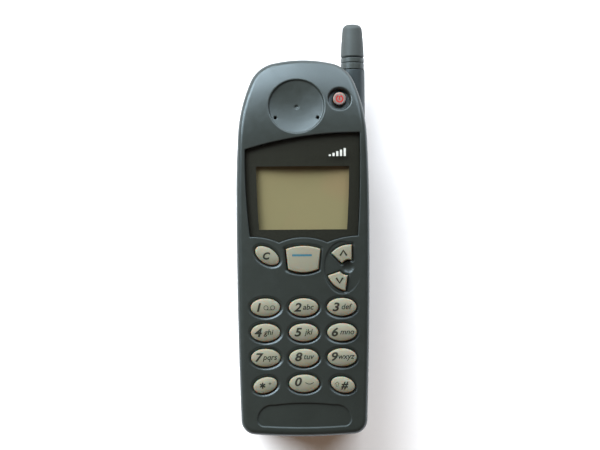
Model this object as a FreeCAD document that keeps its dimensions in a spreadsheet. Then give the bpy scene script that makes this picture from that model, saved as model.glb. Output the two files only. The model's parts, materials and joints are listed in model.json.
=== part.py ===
"""Candy-bar mobile phone with a stub antenna, lying on the flat back of its battery.

Millimetres. The origin is the centre of the battery's flat back. +X is to the right as the
user looks at the keys, +Y runs towards the antenna, +Z comes out of the key face.
"""
import FreeCAD, Part
import math
import os
import re
import Sketcher

V = FreeCAD.Vector

# ---------------------------------------------------------------------------------------
# Driving dimensions
# ---------------------------------------------------------------------------------------
SIZES = {
    # the whole body, seen from the front
    "body_length": 132.0,
    "body_width": 46.5,
    "body_centre_y": -0.5,
    "body_height": 31.0,
    "split_height": 16.0,       # front and rear covers meet here
    # plan outline: tangent arcs from the middle of the top edge down each flank
    "top_radius": 46.7,
    "top_turn": 12.7,
    "shoulder_radius": 11.2,
    "shoulder_turn": 54.2,
    "cheek_radius": 56.8,
    "cheek_turn": 20.3,
    "taper_radius": 2240.0,     # the long flank below the widest place
    "foot_radius": 5.0,         # corners at the foot, in plan
    "foot_crown_radius": 260.0, # bulge of the bottom edge
    # the crowned face
    "crown_peak": 5.0,
    "crown_radius": 2000.0,
    "cross_radius": 160.0,
    "dome_start": 36.0,
    "dome_radius": 75.0,
    "dome_turn": 34.0,
    "edge_round": 2.2,
    # walls and gaps
    "side_wall": 1.6,
    "face_wall": 2.4,
    "cover_inset": 0.3,         # the rear cover stands in from the front cover
    "gap": 0.3,
    # display window and display
    "window_thickness": 1.2,
    "window_recess": 0.4,
    "mask_thickness": 0.2,
    "view_width": 32.5,
    "view_length": 22.1,
    "view_y": 16.75,
    "glass_width": 34.4,
    "glass_length": 25.0,
    "glass_thickness": 1.8,
    "glass_bottom": 25.0,
    "frame_width": 36.4,
    "frame_length": 28.4,
    "frame_top": 27.2,
    # earpiece and power key
    "dish_x": -2.0,
    "dish_y": 48.9,
    "dish_radius": 10.0,
    "dish_wall_width": 0.55,
    "dish_wall_depth": 1.1,
    "dish_depth": 2.0,
    "dish_rim_round": 0.35,
    "ear_hole_radius": 0.55,
    "centre_mark_radius": 0.9,
    "ear_hole_spread": 7.4,
    "ear_hole_drop": 4.2,
    "ear_boss_bottom": 25.0,
    "speaker_y": 46.9,
    "speaker_radius": 8.6,
    "power_x": 13.1,
    "power_y": 51.3,
    "power_dish_radius": 4.1,
    "power_wall_width": 0.4,
    "power_wall_depth": 2.4,
    "power_dish_depth": 2.6,
    "power_boss_bottom": 25.1,
    "power_rim_round": 0.4,
    "power_radius": 2.25,
    "power_foot_radius": 2.8,
    "power_bottom": 24.0,
    "power_top": 28.2,
    "power_round": 0.5,
    # keys
    "key_column": 13.27,
    "key_row_first": -21.3,
    "key_row_step": 8.78,
    "key_major": 5.08,
    "key_minor": 3.08,
    "zero_y": -47.8,
    "zero_major": 5.2,
    "zero_minor": 3.05,
    "corner_key_x": 13.5,
    "corner_key_y": -48.4,
    "corner_key_major": 4.2,
    "corner_key_minor": 2.68,
    "corner_key_tilt": 15.0,
    "clear_key_x": -12.55,
    "clear_key_y": -3.3,
    "clear_key_major": 4.6,
    "clear_key_minor": 2.62,
    "clear_key_tilt": -33.0,
    "key_proud": 1.0,
    "key_dome": 1.6,
    "key_gap": 0.3,
    "key_flange": 0.7,
    "key_round": 0.45,
    "key_dish_width": 0.85,
    "key_dish_depth": 0.5,
    "menu_x": -0.25,
    "menu_top_width": 12.0,
    "menu_bottom_width": 10.4,
    "menu_top_y": -1.1,
    "menu_bottom_y": -8.1,
    "menu_bulge": 1.1,
    "dimple_x": 15.55,
    "dimple_y": -7.6,
    "dimple_radius": 2.1,
    "dimple_depth": 0.6,
    "dimple_rim_round": 0.25,
    "scroll_panel_x": 13.7,
    "scroll_panel_reach_x": 6.6,
    "scroll_panel_reach_y": 9.2,
    "panel_depth": 0.35,
    # key mat and keypad board
    "web_bottom": 25.6,
    "web_thickness": 1.0,
    "web_width": 37.6,
    "web_length": 55.6,
    "web_y": -25.8,
    "web_gap": 0.25,
    "keypad_width": 36.0,
    "keypad_length": 55.0,
    "keypad_bottom": 23.2,
    "board_thickness": 1.0,
    # chassis and main board
    "chassis_width": 36.0,
    "chassis_length": 112.0,
    "chassis_y": -2.0,
    "chassis_bottom": 21.4,
    "chassis_thickness": 1.0,
    "main_width": 37.0,
    "main_length": 108.0,
    "main_y": -2.5,
    "main_bottom": 17.4,
    "shield_height": 3.0,
    "shield_wall": 0.3,
    "screw_x": 16.0,
    "screw_low_y": -52.0,
    "screw_high_y": 26.6,
    "screw_radius": 1.0,
    "screw_head_radius": 2.0,
    "screw_head_height": 0.8,
    # rear cover
    "floor_bottom": 12.8,
    "floor_thickness": 1.2,
    "rail_bottom": 9.3,
    "bay_top_y": 30.3,
    "block_back_low": 1.2,
    "block_slope": 13.5,
    "block_round": 2.6,
    "boss_bore_depth": 11.5,
    "plug_y": 24.0,             # battery connector in the bay floor
    "plug_width": 14.0,
    "plug_length": 4.0,
    "pad_pitch": 4.0,
    # bottom connector and charger jack
    "connector_width": 26.0,
    "connector_height": 6.0,
    "connector_bottom": 14.2,
    "connector_face_y": -65.8,
    "jack_z": 17.1,
    "jack_radius": 2.6,
    "jack_bore_radius": 1.8,
    "jack_length": 8.4,
    "jack_floor": 1.0,
    "jack_pin_radius": 0.6,
    "jack_pin_length": 6.9,
    "mic_x": 16.4,
    "mic_z": 19.0,
    # antenna
    "antenna_x": 18.3,
    "antenna_z": 11.2,
    "antenna_boss_radius": 4.4,
    "antenna_boss_start": 46.0,
    "antenna_boss_end": 63.0,
    "collar_groove": 65.4,
    "collar_groove_width": 0.35,
    "collar_groove_depth": 0.25,
    "collar_end": 67.3,
    "antenna_tip": 79.5,
    "cap_base_radius": 4.2,
    "cap_tip_radius": 3.55,
    "stud_radius": 2.5,
    # volume rocker
    "volume_y": 26.0,
    "volume_length": 16.0,
    "volume_low": 16.5,
    "volume_height": 4.4,
    "volume_proud": 0.35,
    "volume_flange_gap": 0.5,
    "volume_flange": 0.8,
    "volume_flange_reach": 1.4,
    "volume_pivot_radius": 0.6,
    "volume_pivot_x": -20.75,
    # battery
    "battery_split": 9.0,
    "battery_top": 12.5,
    "battery_top_y": 30.0,
    "battery_width": 38.0,
    "battery_low_y": -60.0,
    "battery_wall": 1.5,
    "battery_round": 3.5,
    "heel_radius": 0.3,         # bead at the foot that the pack rolls on as it swings open
    "heel_length": 12.0,
    "lid_thickness": 1.0,
    "cell_length": 25.4,
    "cell_width": 34.0,
    "cell_height": 8.8,
    "cell_count": 3.0,
    "catch_width": 11.8,
    "catch_length": 4.4,
    "catch_height": 3.4,
    "catch_y": 27.2,
    "catch_pocket_low_y": 21.5,
    "spring_radius": 0.9,
    "spring_wire": 0.25,
    # SIM card
    "sim_width": 25.0,
    "sim_length": 15.0,
    "sim_thickness": 0.76,
    "sim_y": -6.5,
    "sim_bottom": 13.3,
}

doc = FreeCAD.newDocument("MobilePhone")
sheet = doc.addObject("Spreadsheet::Sheet", "Sizes")
for row, (alias, value) in enumerate(SIZES.items(), start=1):
    sheet.set(f"A{row}", alias)
    sheet.set(f"B{row}", str(value))
    sheet.setAlias(f"B{row}", alias)
doc.recompute()

nodes = []

FAR = 80.0      # beyond the phone in any direction, for cutting tools


def size(alias):
    """The number that the sheet holds for an alias."""
    return float(sheet.get(alias))


def formula(text):
    """An expression in which every alias names its cell of the sheet."""
    def cell(match):
        word = match.group(0)
        return f"Sizes.{word}" if word in SIZES else word
    return re.sub(r"[a-z_]\w*", cell, str(text))


def bind(obj, **properties):
    """Bind properties of an object to expressions over the sheet."""
    for name, text in properties.items():
        obj.setExpression(name, formula(text))
    return obj


def place(obj, x="0", y="0", z="0"):
    """Bind an object's position to expressions over the sheet."""
    for letter, text in zip("xyz", (x, y, z)):
        obj.setExpression(f".Placement.Base.{letter}", formula(text))
    return obj


def node(obj, name):
    """Name an object as one sub-part of the phone."""
    obj.Label = name
    nodes.append(obj)
    return obj


def crown_at(x, y):
    """Expression for the height of the crowned face over a point below the dome."""
    along = f"(({y}) - crown_peak)^2 / (2 * crown_radius)"
    across = f"({x})^2 / (2 * cross_radius)"
    return f"(body_height - {along} - {across})"


# ---------------------------------------------------------------------------------------
# Parametric building blocks
# ---------------------------------------------------------------------------------------
def box(name, width, length, height, x="0", y="0", z="0"):
    """A block centred on x and y that stands on z."""
    obj = doc.addObject("Part::Box", name)
    bind(obj, Length=width, Width=length, Height=height)
    return place(obj, f"{x} - ({width}) / 2", f"{y} - ({length}) / 2", z)


def cylinder(name, radius, height, x="0", y="0", z="0", along_y=False):
    """A cylinder that starts at a point and runs up, or towards +Y."""
    obj = doc.addObject("Part::Cylinder", name)
    bind(obj, Radius=radius, Height=height)
    if along_y:
        obj.Placement.Rotation = FreeCAD.Rotation(V(1, 0, 0), -90)
    return place(obj, x, y, z)


def ellipse_prism(name, major, minor, height, x, y, z, tilt="0"):
    """An upright column of elliptical section."""
    profile = doc.addObject("Part::Ellipse", f"{name}_profile")
    bind(profile, MajorRadius=major, MinorRadius=minor)
    place(profile, x, y, z)
    profile.setExpression(".Placement.Rotation.Angle", formula(tilt))
    return raise_profile(name, profile, height)


def raise_profile(name, profile, height):
    """Extrude a closed profile straight up."""
    obj = doc.addObject("Part::Extrusion", name)
    obj.Base = profile
    obj.DirMode = "Custom"
    obj.Dir = V(0, 0, 1)
    obj.Solid = True
    return bind(obj, LengthFwd=height)


def cut(name, base, *tools):
    """A piece with one or more tools taken away."""
    obj = doc.addObject("Part::Cut", name)
    obj.Base = base
    obj.Tool = tools[0] if len(tools) == 1 else fuse(f"{name}_tools", *tools)
    return obj


def fuse(name, *shapes):
    """One solid made of several."""
    obj = doc.addObject("Part::MultiFuse", name)
    obj.Shapes = list(shapes)
    return obj


def common(name, *shapes):
    """What several solids share."""
    obj = doc.addObject("Part::MultiCommon", name)
    obj.Shapes = list(shapes)
    return obj


def group(name, members):
    """Separate solids that are kept together as one node."""
    obj = doc.addObject("Part::Compound", name)
    obj.Links = members
    return node(obj, name)


def feature(name, shape, x="0", y="0", z="0"):
    """A document object around a shape made with Part's functions, moved to a place."""
    obj = doc.addObject("Part::Feature", name)
    obj.Shape = shape
    obj.Placement = FreeCAD.Placement()
    return place(obj, x, y, z)


def base_plane(body):
    """The body's own XY plane."""
    return next(part for part in body.Origin.OriginFeatures if part.Role == "XY_Plane")


def rectangle_sketch(body, name, width, length, x="0", y="0"):
    """A rectangle centred on a point of the body's XY plane."""
    sketch = body.newObject("Sketcher::SketchObject", name)
    sketch.AttachmentSupport = (base_plane(body), [""])
    sketch.MapMode = "FlatFace"
    corners = [V(-1, -1, 0), V(1, -1, 0), V(1, 1, 0), V(-1, 1, 0)]
    for index in range(4):
        sketch.addGeometry(Part.LineSegment(corners[index], corners[(index + 1) % 4]))
    for index in range(4):
        sketch.addConstraint(Sketcher.Constraint("Coincident", index, 2, (index + 1) % 4, 1))
    for index in (0, 2):
        sketch.addConstraint(Sketcher.Constraint("Horizontal", index))
    for index in (1, 3):
        sketch.addConstraint(Sketcher.Constraint("Vertical", index))
    sketch.addConstraint(Sketcher.Constraint("Symmetric", 0, 1, 1, 2, -1, 1))
    across = sketch.addConstraint(Sketcher.Constraint("DistanceX", 0, 1, 0, 2, 2.0))
    along = sketch.addConstraint(Sketcher.Constraint("DistanceY", 1, 1, 1, 2, 2.0))
    sketch.renameConstraint(across, "across")
    sketch.renameConstraint(along, "along")
    sketch.setExpression("Constraints.across", formula(width))
    sketch.setExpression("Constraints.along", formula(length))
    sketch.setExpression("AttachmentOffset.Base.x", formula(x))
    sketch.setExpression("AttachmentOffset.Base.y", formula(y))
    return sketch


def circle_sketch(body, name, radius, centres):
    """Equal circles on the body's XY plane, each at its own centre."""
    sketch = body.newObject("Sketcher::SketchObject", name)
    sketch.AttachmentSupport = (base_plane(body), [""])
    sketch.MapMode = "FlatFace"
    for index, (x, y) in enumerate(centres):
        sketch.addGeometry(Part.Circle(V(1 + 5 * index, 1, 0), V(0, 0, 1), 1.0))
        limits = (("Radius", (index, 1.0), radius),
                  ("DistanceX", (-1, 1, index, 3, 1.0), x),
                  ("DistanceY", (-1, 1, index, 3, 1.0), y))
        for kind, arguments, text in limits:
            number = sketch.addConstraint(Sketcher.Constraint(kind, *arguments))
            label = f"{kind.lower()}_{index}"
            sketch.renameConstraint(number, label)
            sketch.setExpression(f"Constraints.{label}", formula(text))
    return sketch


def plate(name, width, length, height, x="0", y="0", z="0", corner=None, windows=(), holes=()):
    """A flat plate as a PartDesign body, with square windows and round holes through it."""
    body = doc.addObject("PartDesign::Body", name)
    pad = body.newObject("PartDesign::Pad", f"{name}_pad")
    pad.Profile = rectangle_sketch(body, f"{name}_outline", width, length)
    bind(pad, Length=height)
    if corner:
        doc.recompute()
        rounding = body.newObject("PartDesign::Fillet", f"{name}_corners")
        rounding.Base = (pad, upright_edges(pad.Shape))
        bind(rounding, Radius=corner)
    cutters = [rectangle_sketch(body, f"{name}_window_{number}", *window)
               for number, window in enumerate(windows)]
    cutters += [circle_sketch(body, f"{name}_hole_{number}", *hole)
                for number, hole in enumerate(holes)]
    for number, sketch in enumerate(cutters):
        pocket = body.newObject("PartDesign::Pocket", f"{name}_pocket_{number}")
        pocket.Profile = sketch
        pocket.Type = "ThroughAll"
        pocket.Midplane = True
    return place(body, x, y, z)


def upright_edges(shape):
    """Names of a shape's straight vertical edges."""
    return [f"Edge{number}" for number, edge in enumerate(shape.Edges, start=1)
            if edge.BoundBox.XLength < 1e-6 and edge.BoundBox.YLength < 1e-6]


# ---------------------------------------------------------------------------------------
# The body's form, which both covers and the battery share
# ---------------------------------------------------------------------------------------
def arc(first, through, last):
    """An arc edge through three points."""
    return Part.Arc(first, through, last).toShape()


def line(first, last):
    """A straight edge."""
    return Part.makeLine(first, last)


def prism(wire, low, high):
    """The upright solid on a flat closed wire."""
    face = Part.Face(wire)
    face.translate(V(0, 0, low - wire.BoundBox.ZMin))
    return face.extrude(V(0, 0, high - low))


def block(x_low, x_high, y_low, y_high, z_low, z_high):
    """A box between two corners."""
    return Part.makeBox(x_high - x_low, y_high - y_low, z_high - z_low, V(x_low, y_low, z_low))


def foot_y():
    """Where the body's foot is on the centre line."""
    return size("body_centre_y") - size("body_length") / 2


def turn_arc(point, heading, radius, turn):
    """An arc from a point, turning clockwise, with its end point and end heading."""
    centre = point + V(math.sin(heading), -math.cos(heading), 0) * radius

    def at(angle):
        return centre + V(-math.sin(angle), math.cos(angle), 0) * radius

    turn = math.radians(turn)
    end = at(heading - turn)
    return arc(point, at(heading - turn / 2), end), end, heading - turn


def half_outline(inset):
    """Edges of the right half of the plan outline, from the top to below the foot."""
    point = V(0, size("body_length") / 2 + size("body_centre_y") - inset, 0)
    heading = 0.0
    edges = []
    for name in ("top", "shoulder", "cheek"):
        radius = size(f"{name}_radius") - inset
        edge, point, heading = turn_arc(point, heading, radius, size(f"{name}_turn"))
        edges.append(edge)
    flank_turn = 90.0 + math.degrees(heading)
    reach = size("body_width") / 2 - inset - point.x
    radius = reach / (1 - math.cos(math.radians(flank_turn)))
    edge, point, heading = turn_arc(point, heading, radius, flank_turn)
    edges.append(edge)
    drop = point.y - foot_y() + size("foot_radius")
    radius = size("taper_radius") - inset
    edge, point, heading = turn_arc(point, heading, radius, math.degrees(math.asin(drop / radius)))
    edges.append(edge)
    edges.append(line(point, V(0, point.y, 0)))
    return edges


def plan_block(inset, low, high):
    """The body's plan outline as an upright block, stood in by an inset."""
    half = half_outline(inset)
    mirrored = [edge.mirror(V(0, 0, 0), V(1, 0, 0)) for edge in half]
    outline = Part.Wire(Part.__sortEdges__(half + mirrored))
    radius = size("foot_crown_radius")
    centre = V(0, foot_y() + radius + inset, low)
    foot = Part.makeCylinder(radius, high - low, centre)
    solid = prism(outline, low, high).common(foot)
    corners = [edge for edge in solid.Edges
               if edge.BoundBox.ZLength > high - low - 1e-3 and edge.BoundBox.XLength < 1e-6
               and edge.BoundBox.Center.y < foot_y() + 4]
    return solid.makeFillet(size("foot_radius") - inset, corners)


def crown_slab(drop):
    """A thick slab whose top is the crowned face, lowered by a drop."""
    radius = size("crown_radius")
    peak = V(0, size("crown_peak"), size("body_height") - drop)

    def on_crown(y):
        return V(0, y, peak.z - radius + math.sqrt(radius ** 2 - (y - peak.y) ** 2))

    low_y = foot_y() - 4
    start = size("dome_start")
    crown = arc(on_crown(low_y), on_crown((low_y + start) / 2), on_crown(start))
    slope = math.asin((start - peak.y) / radius)
    bend = size("dome_radius") - drop
    centre = on_crown(start) - V(0, math.sin(slope), math.cos(slope)) * bend

    def on_dome(turn):
        angle = slope + math.radians(turn)
        return centre + V(0, math.sin(angle), math.cos(angle)) * bend

    dome = arc(on_dome(0), on_dome(size("dome_turn") / 2), on_dome(size("dome_turn")))
    half = size("body_width") / 2 + 4
    cross = size("cross_radius")
    sag = cross - math.sqrt(cross ** 2 - half ** 2)
    ridge = on_crown(low_y)
    left = ridge + V(-half, 0, -sag)
    right = ridge + V(half, 0, -sag)
    depth = V(0, 0, -30)
    section = Part.Wire([arc(left, ridge, right), line(right, right + depth),
                         line(right + depth, left + depth), line(left + depth, left)])
    return Part.Wire([crown, dome]).makePipeShell([section], True, False)


def body_form(inset, drop, low):
    """The front half of the phone as a rounded solid, stood in and lowered."""
    solid = plan_block(inset, low, size("body_height") + 5).common(crown_slab(drop))
    rim = [edge for edge in solid.Edges if edge.BoundBox.ZMin > low + 2
           and edge.BoundBox.XLength + edge.BoundBox.YLength > 1e-3
           and not on_centre_faces(edge)]
    return solid.makeFillet(size("edge_round") - inset, rim)


def on_centre_faces(edge):
    """Whether an edge crosses the crown instead of following its rim."""
    return edge.BoundBox.YLength < 1e-3 and edge.BoundBox.XLength > size("body_width") / 2


# ---------------------------------------------------------------------------------------
# Outlines on the face
# ---------------------------------------------------------------------------------------
def closed(*edges):
    """A closed wire of edges in any order."""
    return Part.Wire(Part.__sortEdges__(list(edges)))


def ellipse_wire(x, y, major, minor, tilt=0.0):
    """A flat elliptical wire."""
    ellipse = Part.Ellipse(V(0, 0, 0), major, minor)
    wire = Part.Wire(ellipse.toShape())
    wire.rotate(V(0, 0, 0), V(0, 0, 1), tilt)
    wire.translate(V(x, y, 0))
    return wire


def menu_outline():
    """The soft key below the window: narrower at its foot, bulging at both ends."""
    top = size("menu_top_width") / 2
    bottom = size("menu_bottom_width") / 2
    high = size("menu_top_y")
    low = size("menu_bottom_y")
    bulge = size("menu_bulge")
    outline = closed(arc(V(-top, high, 0), V(0, high + bulge, 0), V(top, high, 0)),
                     line(V(top, high, 0), V(bottom, low, 0)),
                     arc(V(bottom, low, 0), V(0, low - bulge, 0), V(-bottom, low, 0)),
                     line(V(-bottom, low, 0), V(-top, high, 0)))
    outline.translate(V(size("menu_x"), 0, 0))
    return outline


def arrow_outline(tip, outer, notch_outer, notch_inner, bulge):
    """A wedge-shaped scroll key that ends in a round notch beside the thumb dimple."""
    dimple = V(size("dimple_x"), size("dimple_y"), 0)
    notch_radius = ((notch_outer - dimple).Length + (notch_inner - dimple).Length) / 2
    middle = (notch_outer + notch_inner) / 2 - dimple
    hollow = dimple + middle.normalize() * notch_radius
    return closed(arc(tip, bulge, outer), line(outer, notch_outer),
                  arc(notch_outer, hollow, notch_inner), line(notch_inner, tip))


def up_outline():
    """The upper scroll key."""
    return arrow_outline(V(9.8, -2.6, 0), V(16.85, 0.3, 0), V(16.75, -5.0, 0),
                         V(13.5, -6.1, 0), V(12.95, -0.3, 0))


def down_outline():
    """The lower scroll key."""
    return arrow_outline(V(8.5, -10.4, 0), V(14.55, -15.7, 0), V(15.35, -10.3, 0),
                         V(12.75, -9.0, 0), V(10.95, -13.9, 0))


def window_outline():
    """The display window: a slanted bowed top and a foot of three scallops."""
    top_left = V(-20.2, 33.7, 0)
    top_right = V(20.1, 39.5, 0)
    foot_left = V(-18.6, 3.2, 0)
    foot_right = V(19.2, 3.4, 0)
    cusp_left = V(-8.4, 1.1, 0)
    cusp_right = V(8.4, 1.1, 0)
    return closed(arc(top_left, V(0.3, 38.2, 0), top_right),
                  arc(top_right, V(20.0, 20.0, 0), foot_right),
                  arc(foot_right, V(13.8, 2.8, 0), cusp_right),
                  arc(cusp_right, V(0, 2.95, 0), cusp_left),
                  arc(cusp_left, V(-13.4, 2.75, 0), foot_left),
                  arc(foot_left, V(-19.9, 18.0, 0), top_left))


def view_outline():
    """The clear opening in the dark mask, slightly wider at its top."""
    half = size("view_width") / 2
    foot = half - 0.9
    low = size("view_y") - size("view_length") / 2
    high = size("view_y") + size("view_length") / 2
    middle = size("view_y")
    return closed(line(V(-half, high, 0), V(half, high, 0)),
                  arc(V(half, high, 0), V(half - 0.3, middle, 0), V(foot, low, 0)),
                  line(V(foot, low, 0), V(-foot, low, 0)),
                  arc(V(-foot, low, 0), V(-half + 0.3, middle, 0), V(-half, high, 0)))


def panel_outline():
    """The shallow panel at the foot of the face, arched at its top."""
    return closed(arc(V(-16.2, -59.4, 0), V(-14.6, -56.6, 0), V(-10.4, -55.3, 0)),
                  arc(V(-10.4, -55.3, 0), V(0, -54.6, 0), V(10.4, -55.3, 0)),
                  arc(V(10.4, -55.3, 0), V(14.6, -56.6, 0), V(16.2, -59.4, 0)),
                  arc(V(16.2, -59.4, 0), V(15.9, -62.0, 0), V(13.6, -62.9, 0)),
                  arc(V(13.6, -62.9, 0), V(0, -63.3, 0), V(-13.6, -62.9, 0)),
                  arc(V(-13.6, -62.9, 0), V(-15.9, -62.0, 0), V(-16.2, -59.4, 0)))


# ---------------------------------------------------------------------------------------
# Keys
# ---------------------------------------------------------------------------------------
def digit_keys():
    """Name and place of the keys 1 to 9, as expressions."""
    keys = []
    for digit in range(1, 10):
        row, column = divmod(digit - 1, 3)
        x = f"{column - 1} * key_column"
        y = f"key_row_first - {row} * key_row_step"
        keys.append((f"key_{digit}", x, y, "key_major", "key_minor", "0"))
    return keys


# name, centre, half axes and tilt
OVAL_KEYS = digit_keys() + [
    ("key_0", "0", "zero_y", "zero_major", "zero_minor", "0"),
    ("key_star", "-corner_key_x", "corner_key_y", "corner_key_major", "corner_key_minor",
     "corner_key_tilt"),
    ("key_hash", "corner_key_x", "corner_key_y", "corner_key_major", "corner_key_minor",
     "-corner_key_tilt"),
    ("key_c", "clear_key_x", "clear_key_y", "clear_key_major", "clear_key_minor",
     "clear_key_tilt"),
]

# name, outline, and the centre and half axes of the ellipsoid that domes the top
SHAPED_KEYS = [
    ("key_menu", menu_outline, "menu_x", "-4.6", "9.5", "8.5"),
    ("key_up", up_outline, "13.65", "-3", "7", "6"),
    ("key_down", down_outline, "12.65", "-12", "6.5", "6.5"),
]


def number(text):
    """The value of an expression over the sheet."""
    return float(sheet.evalExpression(formula(text)))


def oval_wires(extra):
    """Wires of all oval keys, grown by an extra margin."""
    return [ellipse_wire(number(x), number(y), number(major) + extra, number(minor) + extra,
                         number(tilt))
            for _, x, y, major, minor, tilt in OVAL_KEYS]


def shaped_wires(extra):
    """Wires of the menu and scroll keys, grown by an extra margin."""
    wires = [outline() for _, outline, *_ in SHAPED_KEYS]
    return [Part.Wire(wire.makeOffset2D(extra).Edges) if extra else wire for wire in wires]


def key_dome(name, x, y, reach_x, reach_y, tilt="0"):
    """The shallow ellipsoid that rounds off a key's top."""
    obj = doc.addObject("Part::Ellipsoid", name)
    bind(obj, Radius1="key_dome", Radius2=reach_x, Radius3=reach_y)
    obj.Angle1 = -90
    place(obj, x, y, f"{crown_at(x, y)} + key_proud - key_dome")
    obj.setExpression(".Placement.Rotation.Angle", formula(tilt))
    return obj


def finish_key(name, foot, column, cap, dome):
    """Join a key's foot and column, and its cap cut to the dome, and round its upper edge."""
    top = common(f"{name}_top", cap, dome)
    solid = fuse(f"{name}_solid", foot, column, top)
    doc.recompute()
    rounding = doc.addObject("Part::Fillet", f"{name}_rounded")
    rounding.Base = solid
    radius = size("key_round")
    shoulder = dome.Placement.Base.z
    rounding.Edges = [(index, radius, radius)
                      for index, edge in enumerate(solid.Shape.Edges, start=1)
                      if is_key_rim(edge, shoulder, solid.Shape)]
    return node(rounding, name)


def is_key_rim(edge, shoulder, shape):
    """Whether an edge goes round a key where its side meets its dome."""
    bounds = edge.BoundBox
    upright_or_pole = bounds.XLength + bounds.YLength < 0.01
    if upright_or_pole or bounds.ZMin < shoulder + 0.1:
        return False
    return not edge.isSeam(shape.ancestorsOfType(edge, Part.Face)[0])


def oval_key(name, x, y, major, minor, tilt):
    """A key of elliptical section with a domed top and a flange below the cover."""
    shoulder = f"{crown_at(x, y)} + key_proud - key_dome"
    flange_top = "web_bottom + web_thickness"
    foot = ellipse_prism(f"{name}_foot", f"{major} + key_flange", f"{minor} + key_flange",
                         "web_thickness", x, y, "web_bottom", tilt)
    column = ellipse_prism(f"{name}_column", major, minor, f"{shoulder} - ({flange_top})",
                           x, y, flange_top, tilt)
    cap = ellipse_prism(f"{name}_cap", major, minor, "key_dome", x, y, shoulder, tilt)
    dome = key_dome(f"{name}_dome", x, y, f"1.25 * ({major})", f"1.25 * ({minor})", tilt)
    return finish_key(name, foot, column, cap, dome)


def shaped_key(name, outline, x, y, reach_x, reach_y):
    """A key of free outline with a domed top and a flange below the cover."""
    shoulder = f"{crown_at(x, y)} + key_proud - key_dome"
    flange_top = "web_bottom + web_thickness"
    profile = feature(f"{name}_profile", outline())
    wide = feature(f"{name}_foot_profile", outline().makeOffset2D(size("key_flange")))
    stages = (("foot", wide, "web_bottom", "web_thickness"),
              ("column", profile, flange_top, f"{shoulder} - ({flange_top})"),
              ("cap", profile, shoulder, "key_dome"))
    parts = []
    for stage, base, start, height in stages:
        part = raise_profile(f"{name}_{stage}", base, height)
        parts.append(place(part, z=start))
    dome = key_dome(f"{name}_dome", x, y, reach_x, reach_y)
    return finish_key(name, *parts, dome)


def power_key():
    """The round power key at the bottom of its dish."""
    stem = cylinder("power_key_stem", "power_radius", "power_top - power_bottom",
                    "power_x", "power_y", "power_bottom")
    foot = cylinder("power_key_foot", "power_foot_radius", "0.8",
                    "power_x", "power_y", "power_bottom")
    solid = fuse("power_key_solid", stem, foot)
    doc.recompute()
    rounding = doc.addObject("Part::Fillet", "power_key_rounded")
    rounding.Base = solid
    radius = size("power_round")
    rounding.Edges = [(index, radius, radius)
                      for index, edge in enumerate(solid.Shape.Edges, start=1)
                      if edge.BoundBox.ZMin > size("power_top") - 1e-3]
    return node(rounding, "power_key")


# ---------------------------------------------------------------------------------------
# Front cover, window and mask
# ---------------------------------------------------------------------------------------
def face_frame(x, y):
    """Point on the crowned face and outward normal there, on the dome or below it."""
    radius = size("crown_radius")
    start = size("dome_start")
    peak_y = size("crown_peak")
    top = size("body_height")
    if y <= start:
        slope = math.asin((y - peak_y) / radius)
        height = top - radius * (1 - math.cos(slope))
    else:
        first = math.asin((start - peak_y) / radius)
        bend = size("dome_radius")
        slope = math.asin(math.sin(first) + (y - start) / bend)
        height = top - radius * (1 - math.cos(first)) - bend * (math.cos(first) - math.cos(slope))
    lean = x / size("cross_radius")
    point = V(x, y, height - x * lean / 2)
    return point, V(lean, math.sin(slope), math.cos(slope)).normalize()


def bowl(rim_radius, wall_width, wall_depth, depth):
    """A round hollow with a steep wall and a gently dished floor, its rim at the origin."""
    high = 3.0
    outer = rim_radius + wall_width * high / wall_depth
    wall_foot = V(rim_radius - wall_width, 0, -wall_depth)
    floor = V(0, 0, -depth)
    floor_radius = (wall_foot.x ** 2 + (depth - wall_depth) ** 2) / (2 * (depth - wall_depth))
    half_angle = math.asin(wall_foot.x / floor_radius) / 2
    on_floor = floor + V(math.sin(half_angle), 0, 1 - math.cos(half_angle)) * floor_radius
    top = V(outer, 0, high)
    profile = closed(line(V(0, 0, high), top), line(top, wall_foot),
                     arc(wall_foot, on_floor, floor), line(floor, V(0, 0, high)))
    return Part.Face(profile).revolve(V(0, 0, 0), V(0, 0, 1), 360)


def sink_bowl(form, x, y, rim_round, tool):
    """A form with a bowl sunk square to its face, the bowl's rim rounded over."""
    point, normal = face_frame(x, y)
    tool.Placement = FreeCAD.Placement(point, FreeCAD.Rotation(V(0, 0, 1), normal))
    sunk = form.cut(tool)
    rims = []
    for face in sunk.Faces:
        if isinstance(face.Surface, Part.Cone) and (face.CenterOfMass - point).Length < 3:
            rims.extend(edge for edge in face.OuterWire.Edges if not edge.isSeam(face))
    return sunk.makeFillet(rim_round, [max(rims, key=lambda edge: edge.BoundBox.ZMax)])


def sink_dimple(form):
    """A form with the thumb dimple in the floor of the scroll panel, its rim rounded over."""
    rim_radius = size("dimple_radius")
    depth = size("dimple_depth")
    radius = (rim_radius ** 2 + depth ** 2) / (2 * depth)
    point, normal = face_frame(size("dimple_x"), size("dimple_y"))
    reach = size("scroll_panel_reach_x")
    fade = (size("scroll_panel_x") + reach - size("dimple_x")) / (2 * reach)
    height = radius - depth - fade * size("panel_depth")
    sunk = form.cut(Part.makeSphere(radius, point + normal * height))
    rim = [edge for face in sunk.Faces for edge in face.Edges
           if isinstance(face.Surface, Part.Sphere) and abs(face.Surface.Radius - radius) < 1e-6]
    return sunk.makeFillet(size("dimple_rim_round"), rim)


def sink_panel(form, outline, floor):
    """A form with a shallow panel of a given outline sunk in its face, down to a floor."""
    top = size("body_height")
    return form.cut(prism(outline, top - 8, top + 1).cut(floor))


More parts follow.
